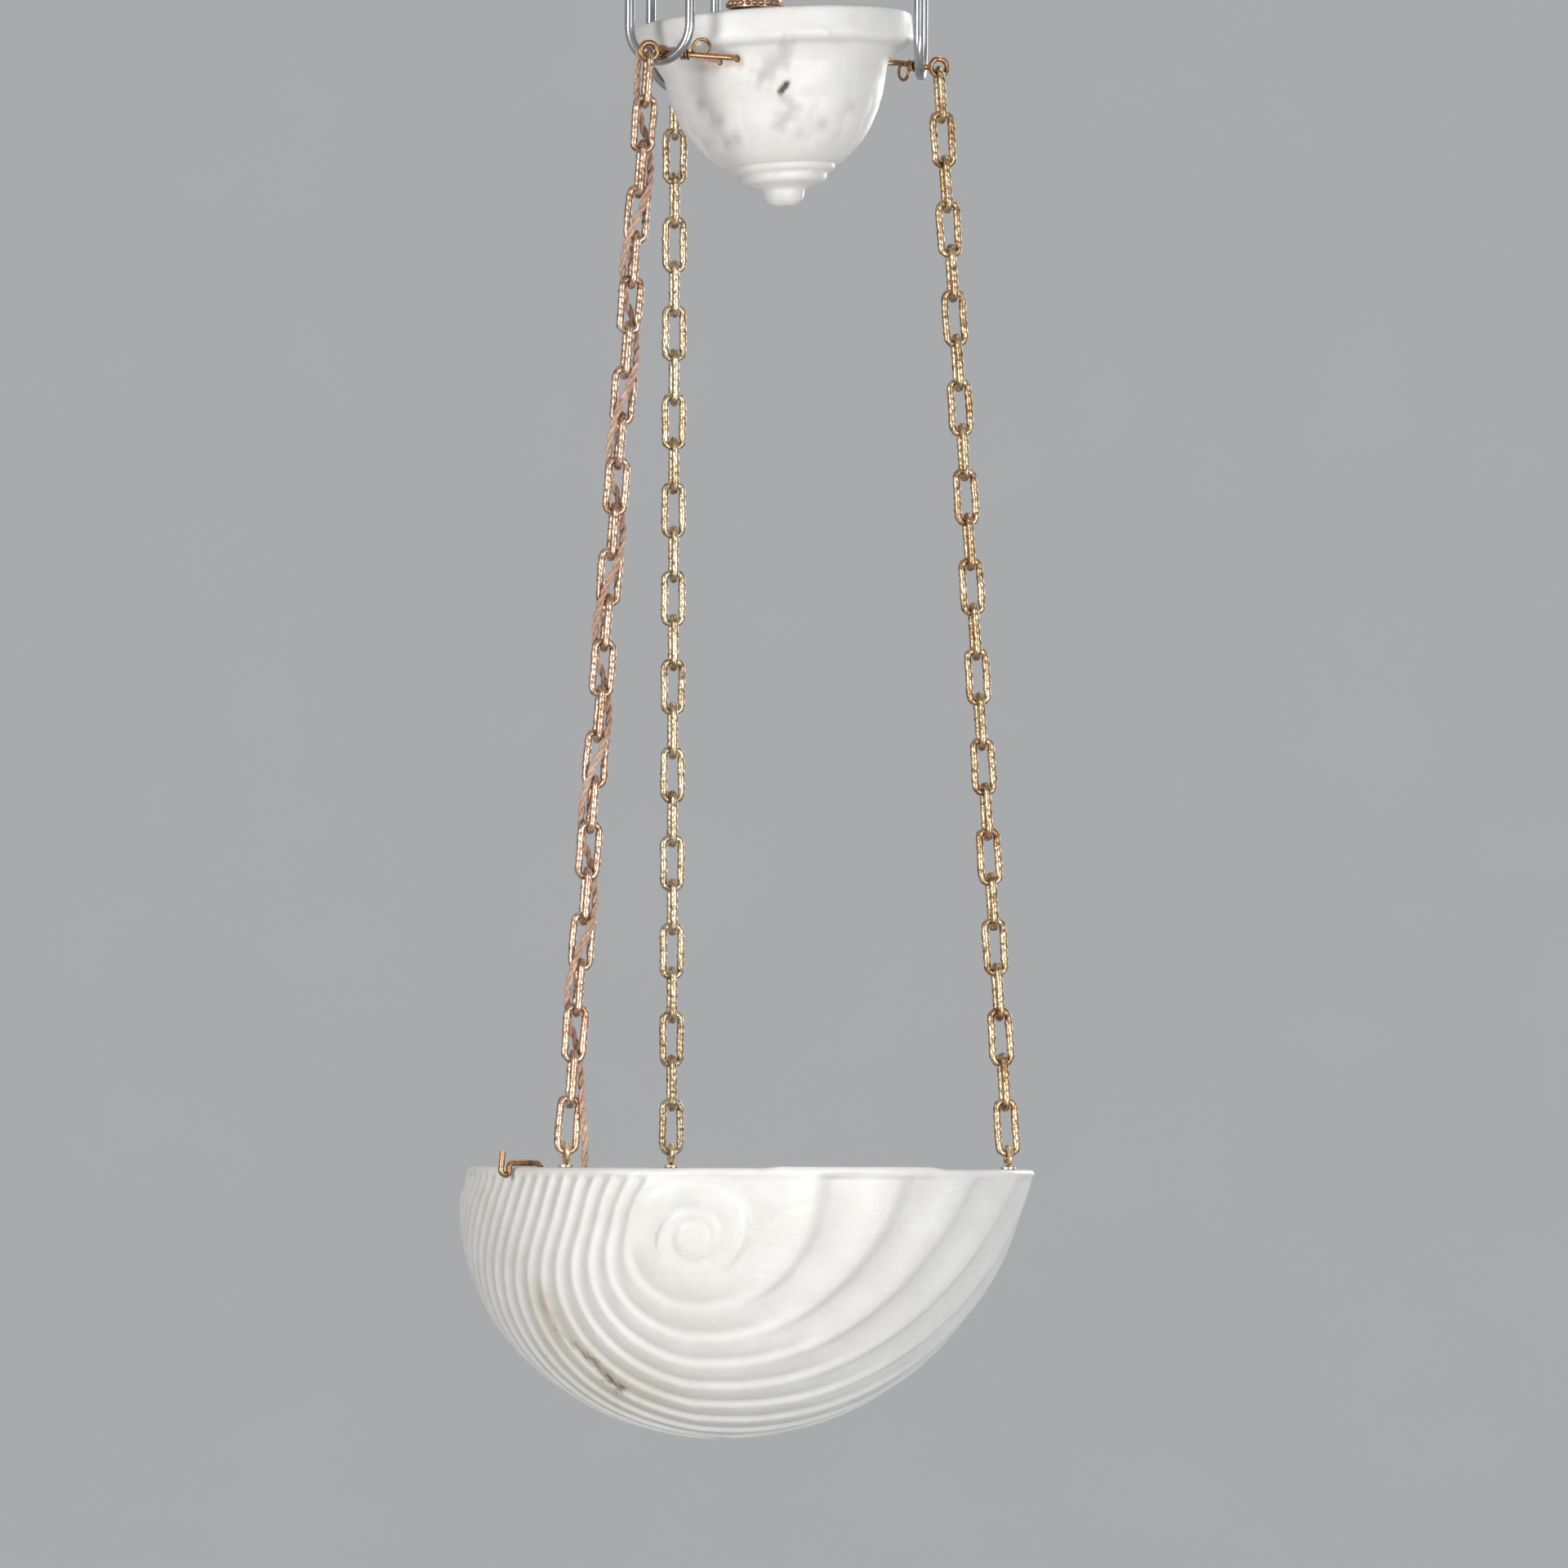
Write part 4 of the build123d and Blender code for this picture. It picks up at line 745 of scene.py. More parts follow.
def bowl_outline():
    """The bowl's rows of points, from the outside's lowest to the inside's lowest, and the share of
    painted shade down its grooves.
    """
    azimuth = bowl_columns()
    cosine, sine = np.cos(azimuth), np.sin(azimuth)
    lift = wavy_rim(azimuth)
    worn = WORN_DEPTH * hump(azimuth, math.pi, WORN_WIDTH)

    def ring(radius, depth):
        x = bowl_middle(min(max(depth, 0), BOWL_DEPTH)) + radius * cosine
        return np.stack([x, radius * sine, -depth + lift * (1 - smooth(0, 26, depth))], 1)

    outer, grooves = [], []
    for angle in np.linspace(math.radians(TOP_ANGLE), math.radians(LOW_ANGLE), BOWL_ROWS):
        depth = BOWL_DEPTH * math.sin(angle)
        level = math.cos(angle)
        direction = np.stack([level * cosine, level * sine, np.full_like(azimuth, -math.sin(angle))], 1)
        cut, groove = carving(direction)
        below_band = smooth(RIM_BAND - 0.8, RIM_BAND + 2.2, depth)
        cut = cut * below_band + BAND_STEP * smooth(RIM_BAND - 0.8, RIM_BAND + 0.6, depth)
        cut = cut + BAND_GROOVE * hump(depth, RIM_BAND + 1.0, 1.2)
        cut = cut * smooth(0.0, 0.10, level)
        cut = cut + worn * (1 - smooth(13, 19, depth))
        uneven = UNEVENNESS * np.sin(3 * azimuth + depth * 0.05) * np.sin(depth * 0.045)
        cut = cut + uneven * smooth(10, 40, depth)
        normal = direction / np.array([BOWL_RADIUS, BOWL_RADIUS, BOWL_DEPTH])
        normal = normal / np.linalg.norm(normal, axis=1)[:, None]
        outer.append(ring(BOWL_RADIUS * level, depth) - normal * cut[:, None])
        # Painted shade down the grooves, kept off the rim band.
        grooves.append(groove * below_band * smooth(0.0, 0.1, level))

    # Insets and depths over the rounded outer edge, the rim's top and the rounded inner edge.
    edge = [(-0.3, 2.4), (-0.9, 1.2), (-2.0, 0.35), (-3.6, 0.0), (-9.0, 0.0), (-BOWL_WALL + 4.0, 0.0)]
    edge += [(-BOWL_WALL + 1.6, 0.5), (-BOWL_WALL + 0.4, 1.7), (-BOWL_WALL, 3.6)]
    inner = []
    for inset, depth in edge:
        radius = BOWL_RADIUS + inset - worn * (1 if inset > -6 else 0.2)
        inner.append(np.stack([radius * cosine, radius * sine, -depth + lift], 1))
    for angle in np.linspace(math.radians(INNER_TOP_ANGLE), math.radians(INNER_LOW_ANGLE), INNER_ROWS):
        tool_marks = 0.3 * np.sin(19 * azimuth) * math.sin(2 * angle)
        radius = (BOWL_RADIUS - BOWL_WALL) * math.cos(angle) + tool_marks
        inner.append(ring(radius, (BOWL_DEPTH - BOWL_FLOOR) * math.sin(angle)))
    return outer + inner, grooves


def make_bowl():
    rows, grooves = bowl_outline()
    rows.reverse()
    faces = grid_faces(len(rows), BOWL_COLUMNS)
    verts = np.concatenate(rows)
    inner_pole, outer_pole = len(verts), len(verts) + 1
    last = (len(rows) - 1) * BOWL_COLUMNS
    for column in range(BOWL_COLUMNS):
        after = (column + 1) % BOWL_COLUMNS
        faces.append((inner_pole, after, column))
        faces.append((outer_pole, last + column, last + after))
    inner_depth = BOWL_DEPTH - BOWL_FLOOR
    poles = [[bowl_middle(inner_depth), 0, -inner_depth], [bowl_middle(BOWL_DEPTH), 0, -BOWL_DEPTH]]
    verts = np.concatenate([verts, poles])
    plain = np.zeros((len(rows) - BOWL_ROWS) * BOWL_COLUMNS)
    carved = np.concatenate([plain, np.ones(BOWL_ROWS * BOWL_COLUMNS), [0.0, 1.0]])
    front = smooth(10, 60, -verts[:, 1]) * carved
    vein, tint, shade = bowl_marks(verts[:, [0, 2]] * MARK_STRETCH, front)
    groove = np.concatenate([plain, *grooves[::-1], [0.0, 0.0]])
    # Painted shade in the grooves and painted shadow under the rim band, both on the grey layer.
    grey = np.clip(GROOVE_SHADE_GREY * groove + SHADE_GREY * shade, 0, 1)
    bowl = new_object("bowl_carved", verts * MM + np.array([0, 0, rim_z]), faces, stone)
    paint_marks(bowl, vein=vein, tint=tint, grey=grey)
    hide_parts("bowl")
    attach(bowl, "bowl")


make_bowl()

# ---- canopy

CANOPY_SHIFT = 11.0
CANOPY_LEAN = 3.8
FLANGE_RADIUS = 87.0
FLANGE_THICKNESS = 20.0
BELL_RADIUS = 69.5
BELL_HEIGHT = 80.0
BELL_END = 70.0
BELL_POWER = 2.2
COVE_DEPTH, COVE_TOP, COVE_FADE = 3.6, 24.0, 4.0
CANOPY_WALL = 12.0
CANOPY_ABOVE_PIVOT = 34.0
CANOPY_COLUMNS = 420
ARM_WIRE = 3.4
ARM_RISE = 5.2
ARM_HOLE_TURN = 14.5
FLEX_HOLE_TURN = -10.0
FLEX_DIAMETER = 4.6
HOLE_GAP = 0.5
DRILL_START, DRILL_LENGTH, DRILL_SIDES = 40, 45, 24
# Radius and depth down the two stepped rings and the button of the finial.
FINIAL = [(33.4, 91.6), (33.2, 93.0), (32.4, 94.3), (29.6, 95.6), (28.2, 96.3), (27.9, 97.6)]
FINIAL += [(27.6, 99.2), (26.7, 100.7), (24.4, 101.9), (21.0, 102.9), (17.6, 104.0)]
FINIAL += [(15.2, 104.9), (13.9, 105.7), (13.35, 106.8), (13.25, 108.4), (12.9, 110.0)]
FINIAL += [(12.1, 111.6), (10.4, 113.3), (7.8, 114.8), (4.6, 115.7), (1.6, 116.0)]

top_azimuth = math.degrees(math.atan2(top_points["right"].y, top_points["right"].x))
pivot_z = top_points["right"].z
lean = math.radians(CANOPY_LEAN)
canopy_x = Vector((math.cos(lean), 0, math.sin(lean)))
canopy_up = Vector((-math.sin(lean), 0, math.cos(lean)))
canopy_origin = Vector((CANOPY_SHIFT * MM, 0, pivot_z + CANOPY_ABOVE_PIVOT * MM))
arm_depth = (canopy_origin.z - pivot_z) / MM - ARM_RISE
bell_middle = canopy_origin - canopy_up * (arm_depth * MM)
arm_azimuths = {side: top_azimuth + turn + ARM_HOLE_TURN for side, turn in SIDES.items()}


def canopy_outward(azimuth):
    angle = math.radians(azimuth)
    return canopy_x * math.cos(angle) + Vector((0, 1, 0)) * math.sin(angle)


flex_way = canopy_outward(arm_azimuths["front_left"] + FLEX_HOLE_TURN)


def bell_radius_at(radius, height, depth):
    share = ((depth - FLANGE_THICKNESS) / height) ** BELL_POWER
    return radius * max(0, 1 - share) ** (1 / BELL_POWER)


def canopy_profile():
    """Radius and depth of points down the outside: flange, cove, bell and finial."""
    points = [(FLANGE_RADIUS - 2.6, 0.0), (FLANGE_RADIUS - 1.0, 0.45), (FLANGE_RADIUS - 0.2, 1.6)]
    points += [(FLANGE_RADIUS, 3.0 + step * 1.9) for step in range(8)]
    points += [(FLANGE_RADIUS - 0.5, 17.6), (FLANGE_RADIUS - 1.9, 19.3), (FLANGE_RADIUS - 4.2, 20.4)]
    points += [(FLANGE_RADIUS - 7.2, 21.2), (BELL_RADIUS + 7.2, 22.0), (BELL_RADIUS + 4.9, 23.2)]
    for step in range(5, 47):
        depth = FLANGE_THICKNESS + BELL_END * math.sin(QUARTER * step / 46)
        cove = COVE_DEPTH * math.exp(-(depth - COVE_TOP) / COVE_FADE)
        points.append((bell_radius_at(BELL_RADIUS, BELL_HEIGHT, depth) + cove, depth))
    foot_radius, foot_depth = points[-1]
    return points + [(foot_radius - 1.2, foot_depth + 0.5), (34.0, foot_depth + 0.8)] + FINIAL


def inner_profile():
    """Radius and depth of points back up the inside of the bell, to the rounded upper edge."""
    radius, height = BELL_RADIUS - CANOPY_WALL, BELL_HEIGHT - CANOPY_WALL
    points = []
    for step in range(24, -1, -1):
        depth = FLANGE_THICKNESS + height * math.sin(QUARTER * (step + 0.3) / 24.3)
        points.append((max(1.2, bell_radius_at(radius, height, depth)), depth))
    return points + [(radius, 10.0), (radius, 2.2), (radius + 0.7, 0.5), (radius + 2.2, 0.0)]


# x, y, half size in millimetres and depth of each pit, and pixels along each grey or brown streak
PITS_PX = [(854, 123, 3.0, 1.1), (879, 145, 3.4, 1.0), (900, 166, 3.8, 1.1), (979, 161, 3.2, 0.9)]
PITS_PX += [(1008, 150, 3.6, 1.2), (890, 170, 3.0, 0.9), (1045, 126, 3.2, 0.7), (1056, 62, 2.8, 0.7)]
PITS_PX += [(1011, 45, 2.4, -1.3), (862, 168, 2.4, 0.7)]
GREY_PX = [(962, 60), (958, 76), (945, 80), (932, 96)]
GREY_LOW_PX = [(958, 118), (972, 132), (953, 150)]
RUST_PX = [(858, 78), (905, 76)]
# Pixels along the slot, which is cut in and painted dark as painted shade
SLOT_PX = [(955, 112), (963, 103)]
SLOT_DEPTH = 3.6
PIT_GREY = 0.42
STREAK_RAGGEDNESS = 0.45


def canopy_unevenness(azimuth, depth, radius):
    """Slight waves of the hand-worked stone, and the low leaves carved above the finial."""
    uneven = 0.28 * np.sin(5 * azimuth + depth * 0.11) * np.sin(depth * 0.17 + 2 * azimuth)
    leaves = np.abs(np.sin(8 * azimuth + 0.25 * np.sin(depth * 0.4))) ** 0.7
    uneven = uneven - 0.75 * (1 - leaves) * smooth(44, 62, depth) * (1 - smooth(80, 89, depth))
    uneven = uneven - 0.4 * smooth(50, 54, depth) * (1 - smooth(54, 58, depth))
    return uneven * smooth(0, 30, radius)


def make_canopy():
    outside, inside = canopy_profile(), inner_profile()
    azimuth = np.arange(CANOPY_COLUMNS) * TAU / CANOPY_COLUMNS
    cosine, sine = np.cos(azimuth), np.sin(azimuth)
    rows = []
    for index, (radius, depth) in enumerate(outside + inside):
        reach = np.full_like(azimuth, radius)
        if index < len(outside):
            reach = reach + canopy_unevenness(azimuth, depth, radius)
        rows.append(np.stack([reach * cosine, reach * sine, np.full_like(azimuth, -depth)], 1))
    axes = np.array([canopy_x, (0, 1, 0), canopy_up])
    world = np.concatenate(rows) @ axes + np.array(canopy_origin) / MM
    seen = np.stack([world[:, 0], world[:, 2] - rim_z / MM], 1) + CANOPY_MARK_SHIFT
    is_outside = np.arange(len(world)) < len(outside) * CANOPY_COLUMNS
    on_front = ((world[:, 1] < 0) & is_outside).astype(float)
    outward = np.tile(np.stack([cosine, sine, 0 * cosine], 1), (len(rows), 1)) @ axes

    def near_line(pixels, width, raggedness=STREAK_RAGGEDNESS):
        points = [photo_place(*pixel) for pixel in pixels]
        reach = np.min([segment_distance(seen, a, b) for a, b in zip(points, points[1:])], axis=0)
        waves = np.sin(seen[:, 0] * 0.55 + 0.21 * seen[:, 1])
        waves = waves * np.sin(seen[:, 1] * 0.43 - 0.3 * seen[:, 0] + 1.0)
        return hump(reach, 0, width * (1 + raggedness * waves)) * on_front

    grey = np.maximum(0.75 * near_line(GREY_PX, 5.0), 0.62 * near_line(GREY_LOW_PX, 4.2))
    for x_px, y_px, size, deep in PITS_PX:
        pit = spot(seen, x_px, y_px, size, size) * on_front
        world = world - outward * (deep * pit)[:, None]
        grey = np.maximum(grey, PIT_GREY * max(deep, 0) * pit)
    # Painted shade: the slot is cut in and painted with the vein's dark colour.
    slot_with_painted_shade = np.clip(1.9 * near_line(SLOT_PX, 1.45, 0.0), 0, 1)
    world = world - outward * (SLOT_DEPTH * slot_with_painted_shade)[:, None]
    faces = [face[::-1] for face in grid_faces(len(rows), CANOPY_COLUMNS, closed=True)]
    canopy = new_object("canopy_carved", world * MM, faces, stone)
    paint_marks(canopy, vein=slot_with_painted_shade, grey=grey, rust=0.5 * near_line(RUST_PX, 3.4))
    return canopy


def drill(thing, way, radius):
    """Cuts a round hole in the bell by a boolean with a drill that is then removed."""
    start = bell_middle + way * DRILL_START * MM
    direction = way.normalized()
    side = direction.orthogonal().normalized()
    other = direction.cross(side)
    verts = []
    for end in (0.0, DRILL_LENGTH * MM):
        for step in range(DRILL_SIDES):
            angle = TAU * step / DRILL_SIDES
            spoke = side * math.cos(angle) + other * math.sin(angle)
            verts.append(start + direction * end + spoke * radius)
    faces = [tuple(reversed(range(DRILL_SIDES))), tuple(range(DRILL_SIDES, 2 * DRILL_SIDES))]
    for step in range(DRILL_SIDES):
        after = (step + 1) % DRILL_SIDES
        faces.append((step, after, after + DRILL_SIDES, step + DRILL_SIDES))
    tool = new_object("drill", verts, faces, stone)
    cut = thing.modifiers.new("hole", "BOOLEAN")
    cut.operation = "DIFFERENCE"
    cut.object = tool
    cut.solver = "EXACT"
    evaluated = thing.evaluated_get(bpy.context.evaluated_depsgraph_get())
    mesh = bpy.data.meshes.new_from_object(evaluated)
    thing.modifiers.clear()
    old = thing.data
    thing.data = mesh
    bpy.data.meshes.remove(old)
    tool_mesh = tool.data
    bpy.data.objects.remove(tool)
    bpy.data.meshes.remove(tool_mesh)


canopy = make_canopy()
for side in SIDES:
    drill(canopy, canopy_outward(arm_azimuths[side]), (ARM_WIRE / 2 + HOLE_GAP) * MM)
drill(canopy, flex_way, (FLEX_DIAMETER / 2 + HOLE_GAP) * MM)
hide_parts("canopy")
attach(canopy, "ceiling")

# ---- flex

STRAND_RADIUS = 1.28
STRAND_OFFSET = 1.1
TWIST_PITCH = 17.0
STRAND_SIDES = 8
STRAND_STEP = 1.5
STRAND_SWELL = 0.05


def smooth_route(points):
    """Even points along one smooth NURBS line that has the route's points as its controls."""
    curve = bpy.data.curves.new("route", "CURVE")
    curve.dimensions = "3D"
    curve.resolution_u = 24
    spline = curve.splines.new("NURBS")
    spline.points.add(len(points) - 1)
    for point, place in zip(spline.points, points):
        point.co = (*place, 1.0)
    spline.order_u = 3
    spline.use_endpoint_u = True
    thing = put("route", curve)
    mesh = bpy.data.meshes.new_from_object(thing.evaluated_get(bpy.context.evaluated_depsgraph_get()))
    places = np.array([v.co for v in mesh.vertices])
    bpy.data.objects.remove(thing)
    bpy.data.curves.remove(curve)
    bpy.data.meshes.remove(mesh)
    runs = np.concatenate([[0], np.cumsum(np.linalg.norm(np.diff(places, axis=0), axis=1))])
    even = np.linspace(0, runs[-1], max(4, int(runs[-1] / (STRAND_STEP * MM))))
    return np.stack([np.interp(even, runs, places[:, axis]) for axis in range(3)], 1), even


def carried_frames(places):
    """Two sideways directions along a line, carried from point to point without twisting."""
    tangents = np.gradient(places, axis=0)
    tangents /= np.linalg.norm(tangents, axis=1)[:, None]
    side = np.cross(tangents[0], [0.3, 1.0, 0.1])
    sides = []
    for tangent in tangents:
        side = unit(side - tangent * (side @ tangent))
        sides.append(side)
    sides = np.array(sides)
    return sides, np.cross(tangents, sides)


def twisted_pair(name, points):
    """Two braided strands wound round each other along the route."""
    places, runs = smooth_route(points)
    sides, others = carried_frames(places)
    around = TAU * np.arange(STRAND_SIDES) / STRAND_SIDES
    verts, faces = [], []
    for strand in range(2):
        angle = TAU * (runs / (TWIST_PITCH * MM)) + math.pi * strand
        spoke = np.cos(angle)[:, None] * sides + np.sin(angle)[:, None] * others
        middle = places + spoke * STRAND_OFFSET * MM
        across_way, up_way = carried_frames(middle)
        swell = 1 + STRAND_SWELL * np.sin(runs / MM * 1.3 + strand * 2)
        ring = np.cos(around)[None, :, None] * across_way[:, None]
        ring = ring + np.sin(around)[None, :, None] * up_way[:, None]
        block = middle[:, None] + ring * (STRAND_RADIUS * MM * swell)[:, None, None]
        verts.append(block.reshape(-1, 3))
        first = strand * len(places) * STRAND_SIDES
        faces += grid_faces(len(places), STRAND_SIDES, first)
        end = first + (len(places) - 1) * STRAND_SIDES
        faces.append(tuple(first + side for side in reversed(range(STRAND_SIDES))))
        faces.append(tuple(end + side for side in range(STRAND_SIDES)))
    return new_object(name, np.concatenate(verts), faces, cotton)


BINDING_WIRE = 1.5
FLEX_ARM_ROOM = 1.4
FLEX_LINK_ROOM = 1.2
FLEX_WEAVE = 6.25
FLEX_LEAD_ROOM = 1.6
FLEX_WALL_ROOM = 0.8
LOOP_CIRCLE_RADIUS = 103.6
HUB_ABOVE_CANOPY = 8.0
ARM_OUTSIDE = 9.0
HOLDER_BOTTOM = 98.0

arm_z = pivot_z + ARM_RISE * MM
front_crossing = polar(LOOP_CIRCLE_RADIUS, top_azimuth + SIDES["front_left"], arm_z)
bell_radius_at_arms = bell_radius_at(BELL_RADIUS, BELL_HEIGHT, arm_depth)
front_way = canopy_outward(arm_azimuths["front_left"])
front_bend = bell_middle + front_way * (bell_radius_at_arms + ARM_OUTSIDE) * MM
front_inward = (front_bend - front_crossing).normalized()
behind_arm = upwards.cross(front_inward).normalized()
arm_side = (ARM_WIRE + FLEX_DIAMETER) / 2 + BINDING_WIRE + FLEX_ARM_ROOM
link_side = (LINK_WIRE + FLEX_DIAMETER) / 2 + FLEX_LINK_ROOM
hub_bottom_z = canopy_origin.z + HUB_ABOVE_CANOPY * MM

# Down the stem, out through the bell's side, and along the arm to the chain's top.
meeting = chain_point("front_left", 20.0, -link_side + 0.6, link_side)
canopy_route = [
    Vector((5.5, 0, -6.0)) * MM,
    Vector((0, 0, -6.0)) * MM,
    Vector((0, 0, hub_bottom_z - 14 * MM)),
    bell_middle + flex_way * 30 * MM,
    bell_middle + flex_way * (bell_radius_at_arms + 6.0) * MM,
    front_crossing + (front_inward * 26.0 + behind_arm * arm_side + upwards * 0.6) * MM,
    front_crossing + (behind_arm * arm_side + upwards * 4.0) * MM,
    chain_point("front_left", -8.5, -link_side, link_side),
    chain_point("front_left", 8.0, -link_side, link_side),
    meeting,
]
flex_top = twisted_pair("flex_canopy_pair", canopy_route)
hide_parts("flex_canopy")
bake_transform(flex_top)

# Round the chain, through the four corners between neighbouring links in turn.
WEAVE_SIGNS = [(-1, 1), (1, 1), (1, -1), (-1, -1)]
JOINT_OVERLAP = 2.25
first_joint_drop = FIRST_LINK_DROP + (LINK_LENGTH - LINK_WIRE) / 2 - JOINT_OVERLAP
chain_length = (bottom_points["right"] - top_points["right"]).length / MM


def weave_corner(index):
    sideways_sign, backwards_sign = WEAVE_SIGNS[index % 4]
    drop = first_joint_drop + index * LINK_PITCH
    return chain_point("front_left", drop, sideways_sign * FLEX_WEAVE, backwards_sign * FLEX_WEAVE)


lead_side = (LINK_WIDTH + FLEX_DIAMETER) / 2 + FLEX_LEAD_ROOM
chain_route = [meeting, weave_corner(0) * 0.73 + weave_corner(1) * 0.27]
chain_route += [weave_corner(index) for index in range(1, LINK_COUNT - 1)]
chain_route += [
    chain_point("front_left", chain_length - 16.0, lead_side - 2.0, -3.4),
    chain_point("front_left", chain_length - 1.0, lead_side, -1.4),
]
flex_middle = twisted_pair("flex_chain_pair", chain_route)
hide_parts("flex_chain")
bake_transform(flex_middle)


def inner_wall_point(azimuth, depth, offset):
    """A point inside the bowl, offset inwards from its wall."""
    radius = (BOWL_RADIUS - BOWL_WALL) * math.sqrt(1 - (depth / (BOWL_DEPTH - BOWL_FLOOR)) ** 2)
    middle = Vector((bowl_middle(depth) * MM, 0, rim_z - depth * MM))
    return middle + polar(radius - offset, azimuth)


# Over the rim, down the inner wall and across the floor to the lampholder from below.
front_foot = bottom_points["front_left"]
lead_start = Vector((front_foot.x, front_foot.y, 0)) + (across * lead_side - along * 0.5) * MM
lead_azimuth = math.degrees(math.atan2(lead_start.y, lead_start.x))
lead_gap = FLEX_DIAMETER / 2 + FLEX_WALL_ROOM
lead_out = polar(1, lead_azimuth) / MM
bowl_route = [
    chain_point("front_left", chain_length - 5.0, lead_side, -1.6),
    lead_start + Vector((0, 0, rim_z + 8 * MM)),
    lead_out * (BOWL_RADIUS - BOWL_WALL - lead_gap - 1.0) * MM + Vector((0, 0, rim_z - 3 * MM)),
]
for depth in (22.0, 58.0, 92.0, 122.0, 143.0):
    bowl_route.append(inner_wall_point(lead_azimuth, depth, lead_gap))
bowl_route += [
    polar(18.0, lead_azimuth, rim_z - 147 * MM),
    Vector((0, 0, rim_z - 136 * MM)),
    Vector((0, 0, rim_z - (HOLDER_BOTTOM + 2.0) * MM)),
]
flex_low = twisted_pair("flex_bowl_pair", bowl_route)
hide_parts("flex_bowl")
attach(flex_low, "bowl")

# ---- stage, light and camera, in metres

FLOOR_Z = -2.4
STAGE_RADIUS = 12.0
STAGE_BEND = 3.0
STAGE_TOP = 7.0
STAGE_COLUMNS = 72
BEND_STEPS = 12
STAGE_COLOR = (0.455, 0.462, 0.473)
# The share of a steady tone in the paint that is seen directly, and that tone's strength.
STEADY_SHARE, STEADY_STRENGTH = 0.9, 0.94
WORLD_COLOR, WORLD_STRENGTH = (0.80, 0.82, 0.85, 1), 0.42
# Place, target, size, power and colour of each lamp.
LAMPS = {
    "key": ((-3.0, -3.8, -0.35), (0, 0, -0.78), 1.7, 112, (1.0, 0.985, 0.96)),
    "fill": ((3.2, -3.8, -0.75), (0, 0, -0.9), 2.2, 90, (0.985, 0.99, 1.0)),
    "rear": ((2.2, 4.0, 0.2), (0, 0, -0.7), 2.2, 52, (1, 1, 1)),
    "top": ((0.4, 0.6, 2.2), (0, 0, -0.8), 2.0, 30, (1, 1, 1)),
    "low": ((1.2, -3.0, -1.7), (0, 0, -0.9), 1.4, 32, (1, 1, 1)),
}
CAMERA_DISTANCE = 6.5
CAMERA_TARGET_X, CAMERA_TARGET_RISE = 0.0208, 0.238
CAMERA_LENS = 240.7
CAMERA_ROLL = 0.3


def seen_directly(tree):
    """1 for rays that show the background itself, straight on, in a reflection or through glass."""
    light_path = tree.nodes.new("ShaderNodeLightPath")
    total = light_path.outputs["Is Camera Ray"]
    for name in ("Is Glossy Ray", "Is Transmission Ray"):
        add = tree.nodes.new("ShaderNodeMath")
        add.operation = "MAXIMUM"
        tree.links.new(total, add.inputs[0])
        tree.links.new(light_path.outputs[name], add.inputs[1])
        total = add.outputs[0]
    return total


def mix_shaders(tree, factor, first, second):
    mix = tree.nodes.new("ShaderNodeMixShader")
    for source, socket in zip((factor, first, second), mix.inputs):
        tree.links.new(source, socket)
    return mix.outputs[0]


def stage_material():
    """Pale matt paint that keeps its tone far from the lamps and is clear from behind."""
    m = Nodes("stage_paint")
    tone = m.ramp(m.noise(3.0, 3.0), [(0.3, tuple(c * 0.985 for c in STAGE_COLOR)), (0.7, STAGE_COLOR)])
    m.color(tone)
    m.roughness(m.noise(14.0), 0.75, 0.9)
    glow = m.node("ShaderNodeEmission")
    m.link(tone, glow.inputs["Color"])
    glow.inputs["Strength"].default_value = STEADY_STRENGTH
    share = m.node("ShaderNodeMath", operation="MULTIPLY")
    m.link(seen_directly(m.tree), share.inputs[0])
    share.inputs[1].default_value = STEADY_SHARE
    pale = mix_shaders(m.tree, share.outputs[0], m.shader.outputs[0], glow.outputs[0])
    behind = m.node("ShaderNodeNewGeometry").outputs["Backfacing"]
    clear = m.node("ShaderNodeBsdfTransparent").outputs[0]
    m.link(mix_shaders(m.tree, behind, pale, clear), m.tree.nodes["Material Output"].inputs["Surface"])
    return m.material


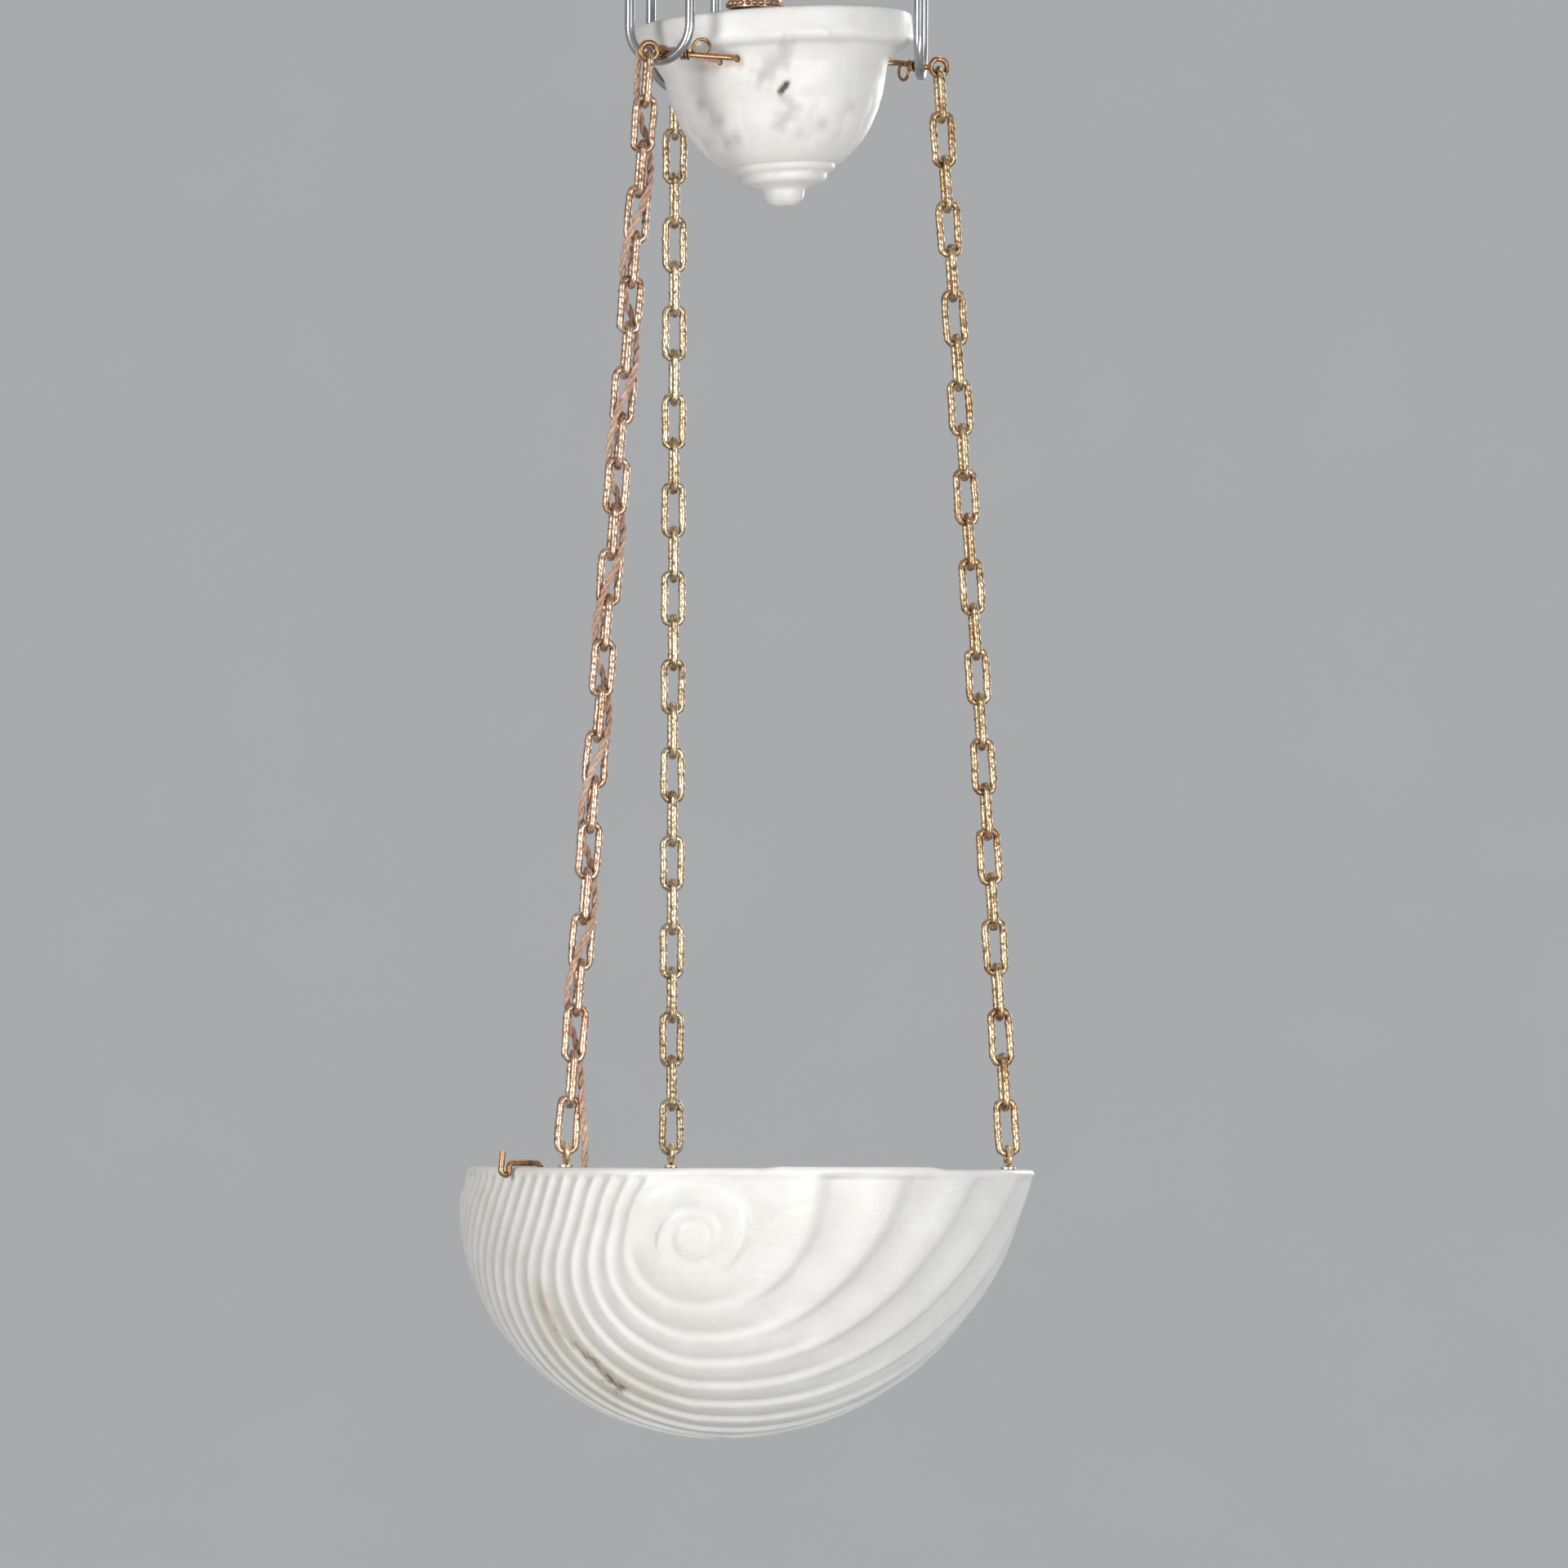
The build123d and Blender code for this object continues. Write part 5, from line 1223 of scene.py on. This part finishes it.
def make_stage():
    """A round pale floor that curves up into a wall all round, wide enough for any view."""
    outline = [(0.01, FLOOR_Z), (STAGE_RADIUS - STAGE_BEND, FLOOR_Z)]
    for step in range(1, BEND_STEPS + 1):
        angle = QUARTER * step / BEND_STEPS
        reach = STAGE_RADIUS - STAGE_BEND + STAGE_BEND * math.sin(angle)
        outline.append((reach, FLOOR_Z + STAGE_BEND * (1 - math.cos(angle))))
    outline.append((STAGE_RADIUS, STAGE_TOP))
    verts = []
    for radius, z in outline:
        for column in range(STAGE_COLUMNS):
            angle = TAU * column / STAGE_COLUMNS
            verts.append((radius * math.cos(angle), radius * math.sin(angle), z))
    stage = new_object("stage_sheet", verts, grid_faces(len(outline), STAGE_COLUMNS), stage_material())
    stage.data.flip_normals()


def make_world():
    """Soft even light, behind which the same pale tone shows above the wall."""
    world = bpy.data.worlds.new("studio")
    world.use_nodes = True
    tree = world.node_tree
    light = tree.nodes["Background"]
    light.inputs["Color"].default_value = WORLD_COLOR
    light.inputs["Strength"].default_value = WORLD_STRENGTH
    shown = tree.nodes.new("ShaderNodeBackground")
    shown.inputs["Color"].default_value = (*STAGE_COLOR, 1)
    surface = mix_shaders(tree, seen_directly(tree), light.outputs[0], shown.outputs[0])
    tree.links.new(surface, tree.nodes["World Output"].inputs["Surface"])
    bpy.context.scene.world = world


def facing(place, target):
    """The turn that points a lamp or camera at its target."""
    return (Vector(target) - Vector(place)).to_track_quat("-Z", "Y")


def area_light(name, place, target, size, power, color):
    lamp = bpy.data.lights.new(name, "AREA")
    lamp.shape = "DISK"
    lamp.size = size
    lamp.energy = power
    lamp.color = color
    holder = put(name, lamp)
    holder.location = place
    holder.rotation_euler = facing(place, target).to_euler()


def make_camera():
    camera = bpy.data.cameras.new("camera")
    camera.sensor_width = 36
    camera.lens = CAMERA_LENS
    camera.clip_end = 60
    holder = put("camera", camera)
    place = Vector((0, -CAMERA_DISTANCE, rim_z))
    target = Vector((CAMERA_TARGET_X, 0, rim_z + CAMERA_TARGET_RISE))
    holder.location = place
    roll = Matrix.Rotation(math.radians(CAMERA_ROLL), 3, "Z")
    holder.rotation_euler = (facing(place, target).to_matrix() @ roll).to_euler()
    bpy.context.scene.camera = holder


make_stage()
for name, settings in LAMPS.items():
    area_light(name, *settings)
make_world()
make_camera()
bpy.context.scene.view_settings.view_transform = "Standard"
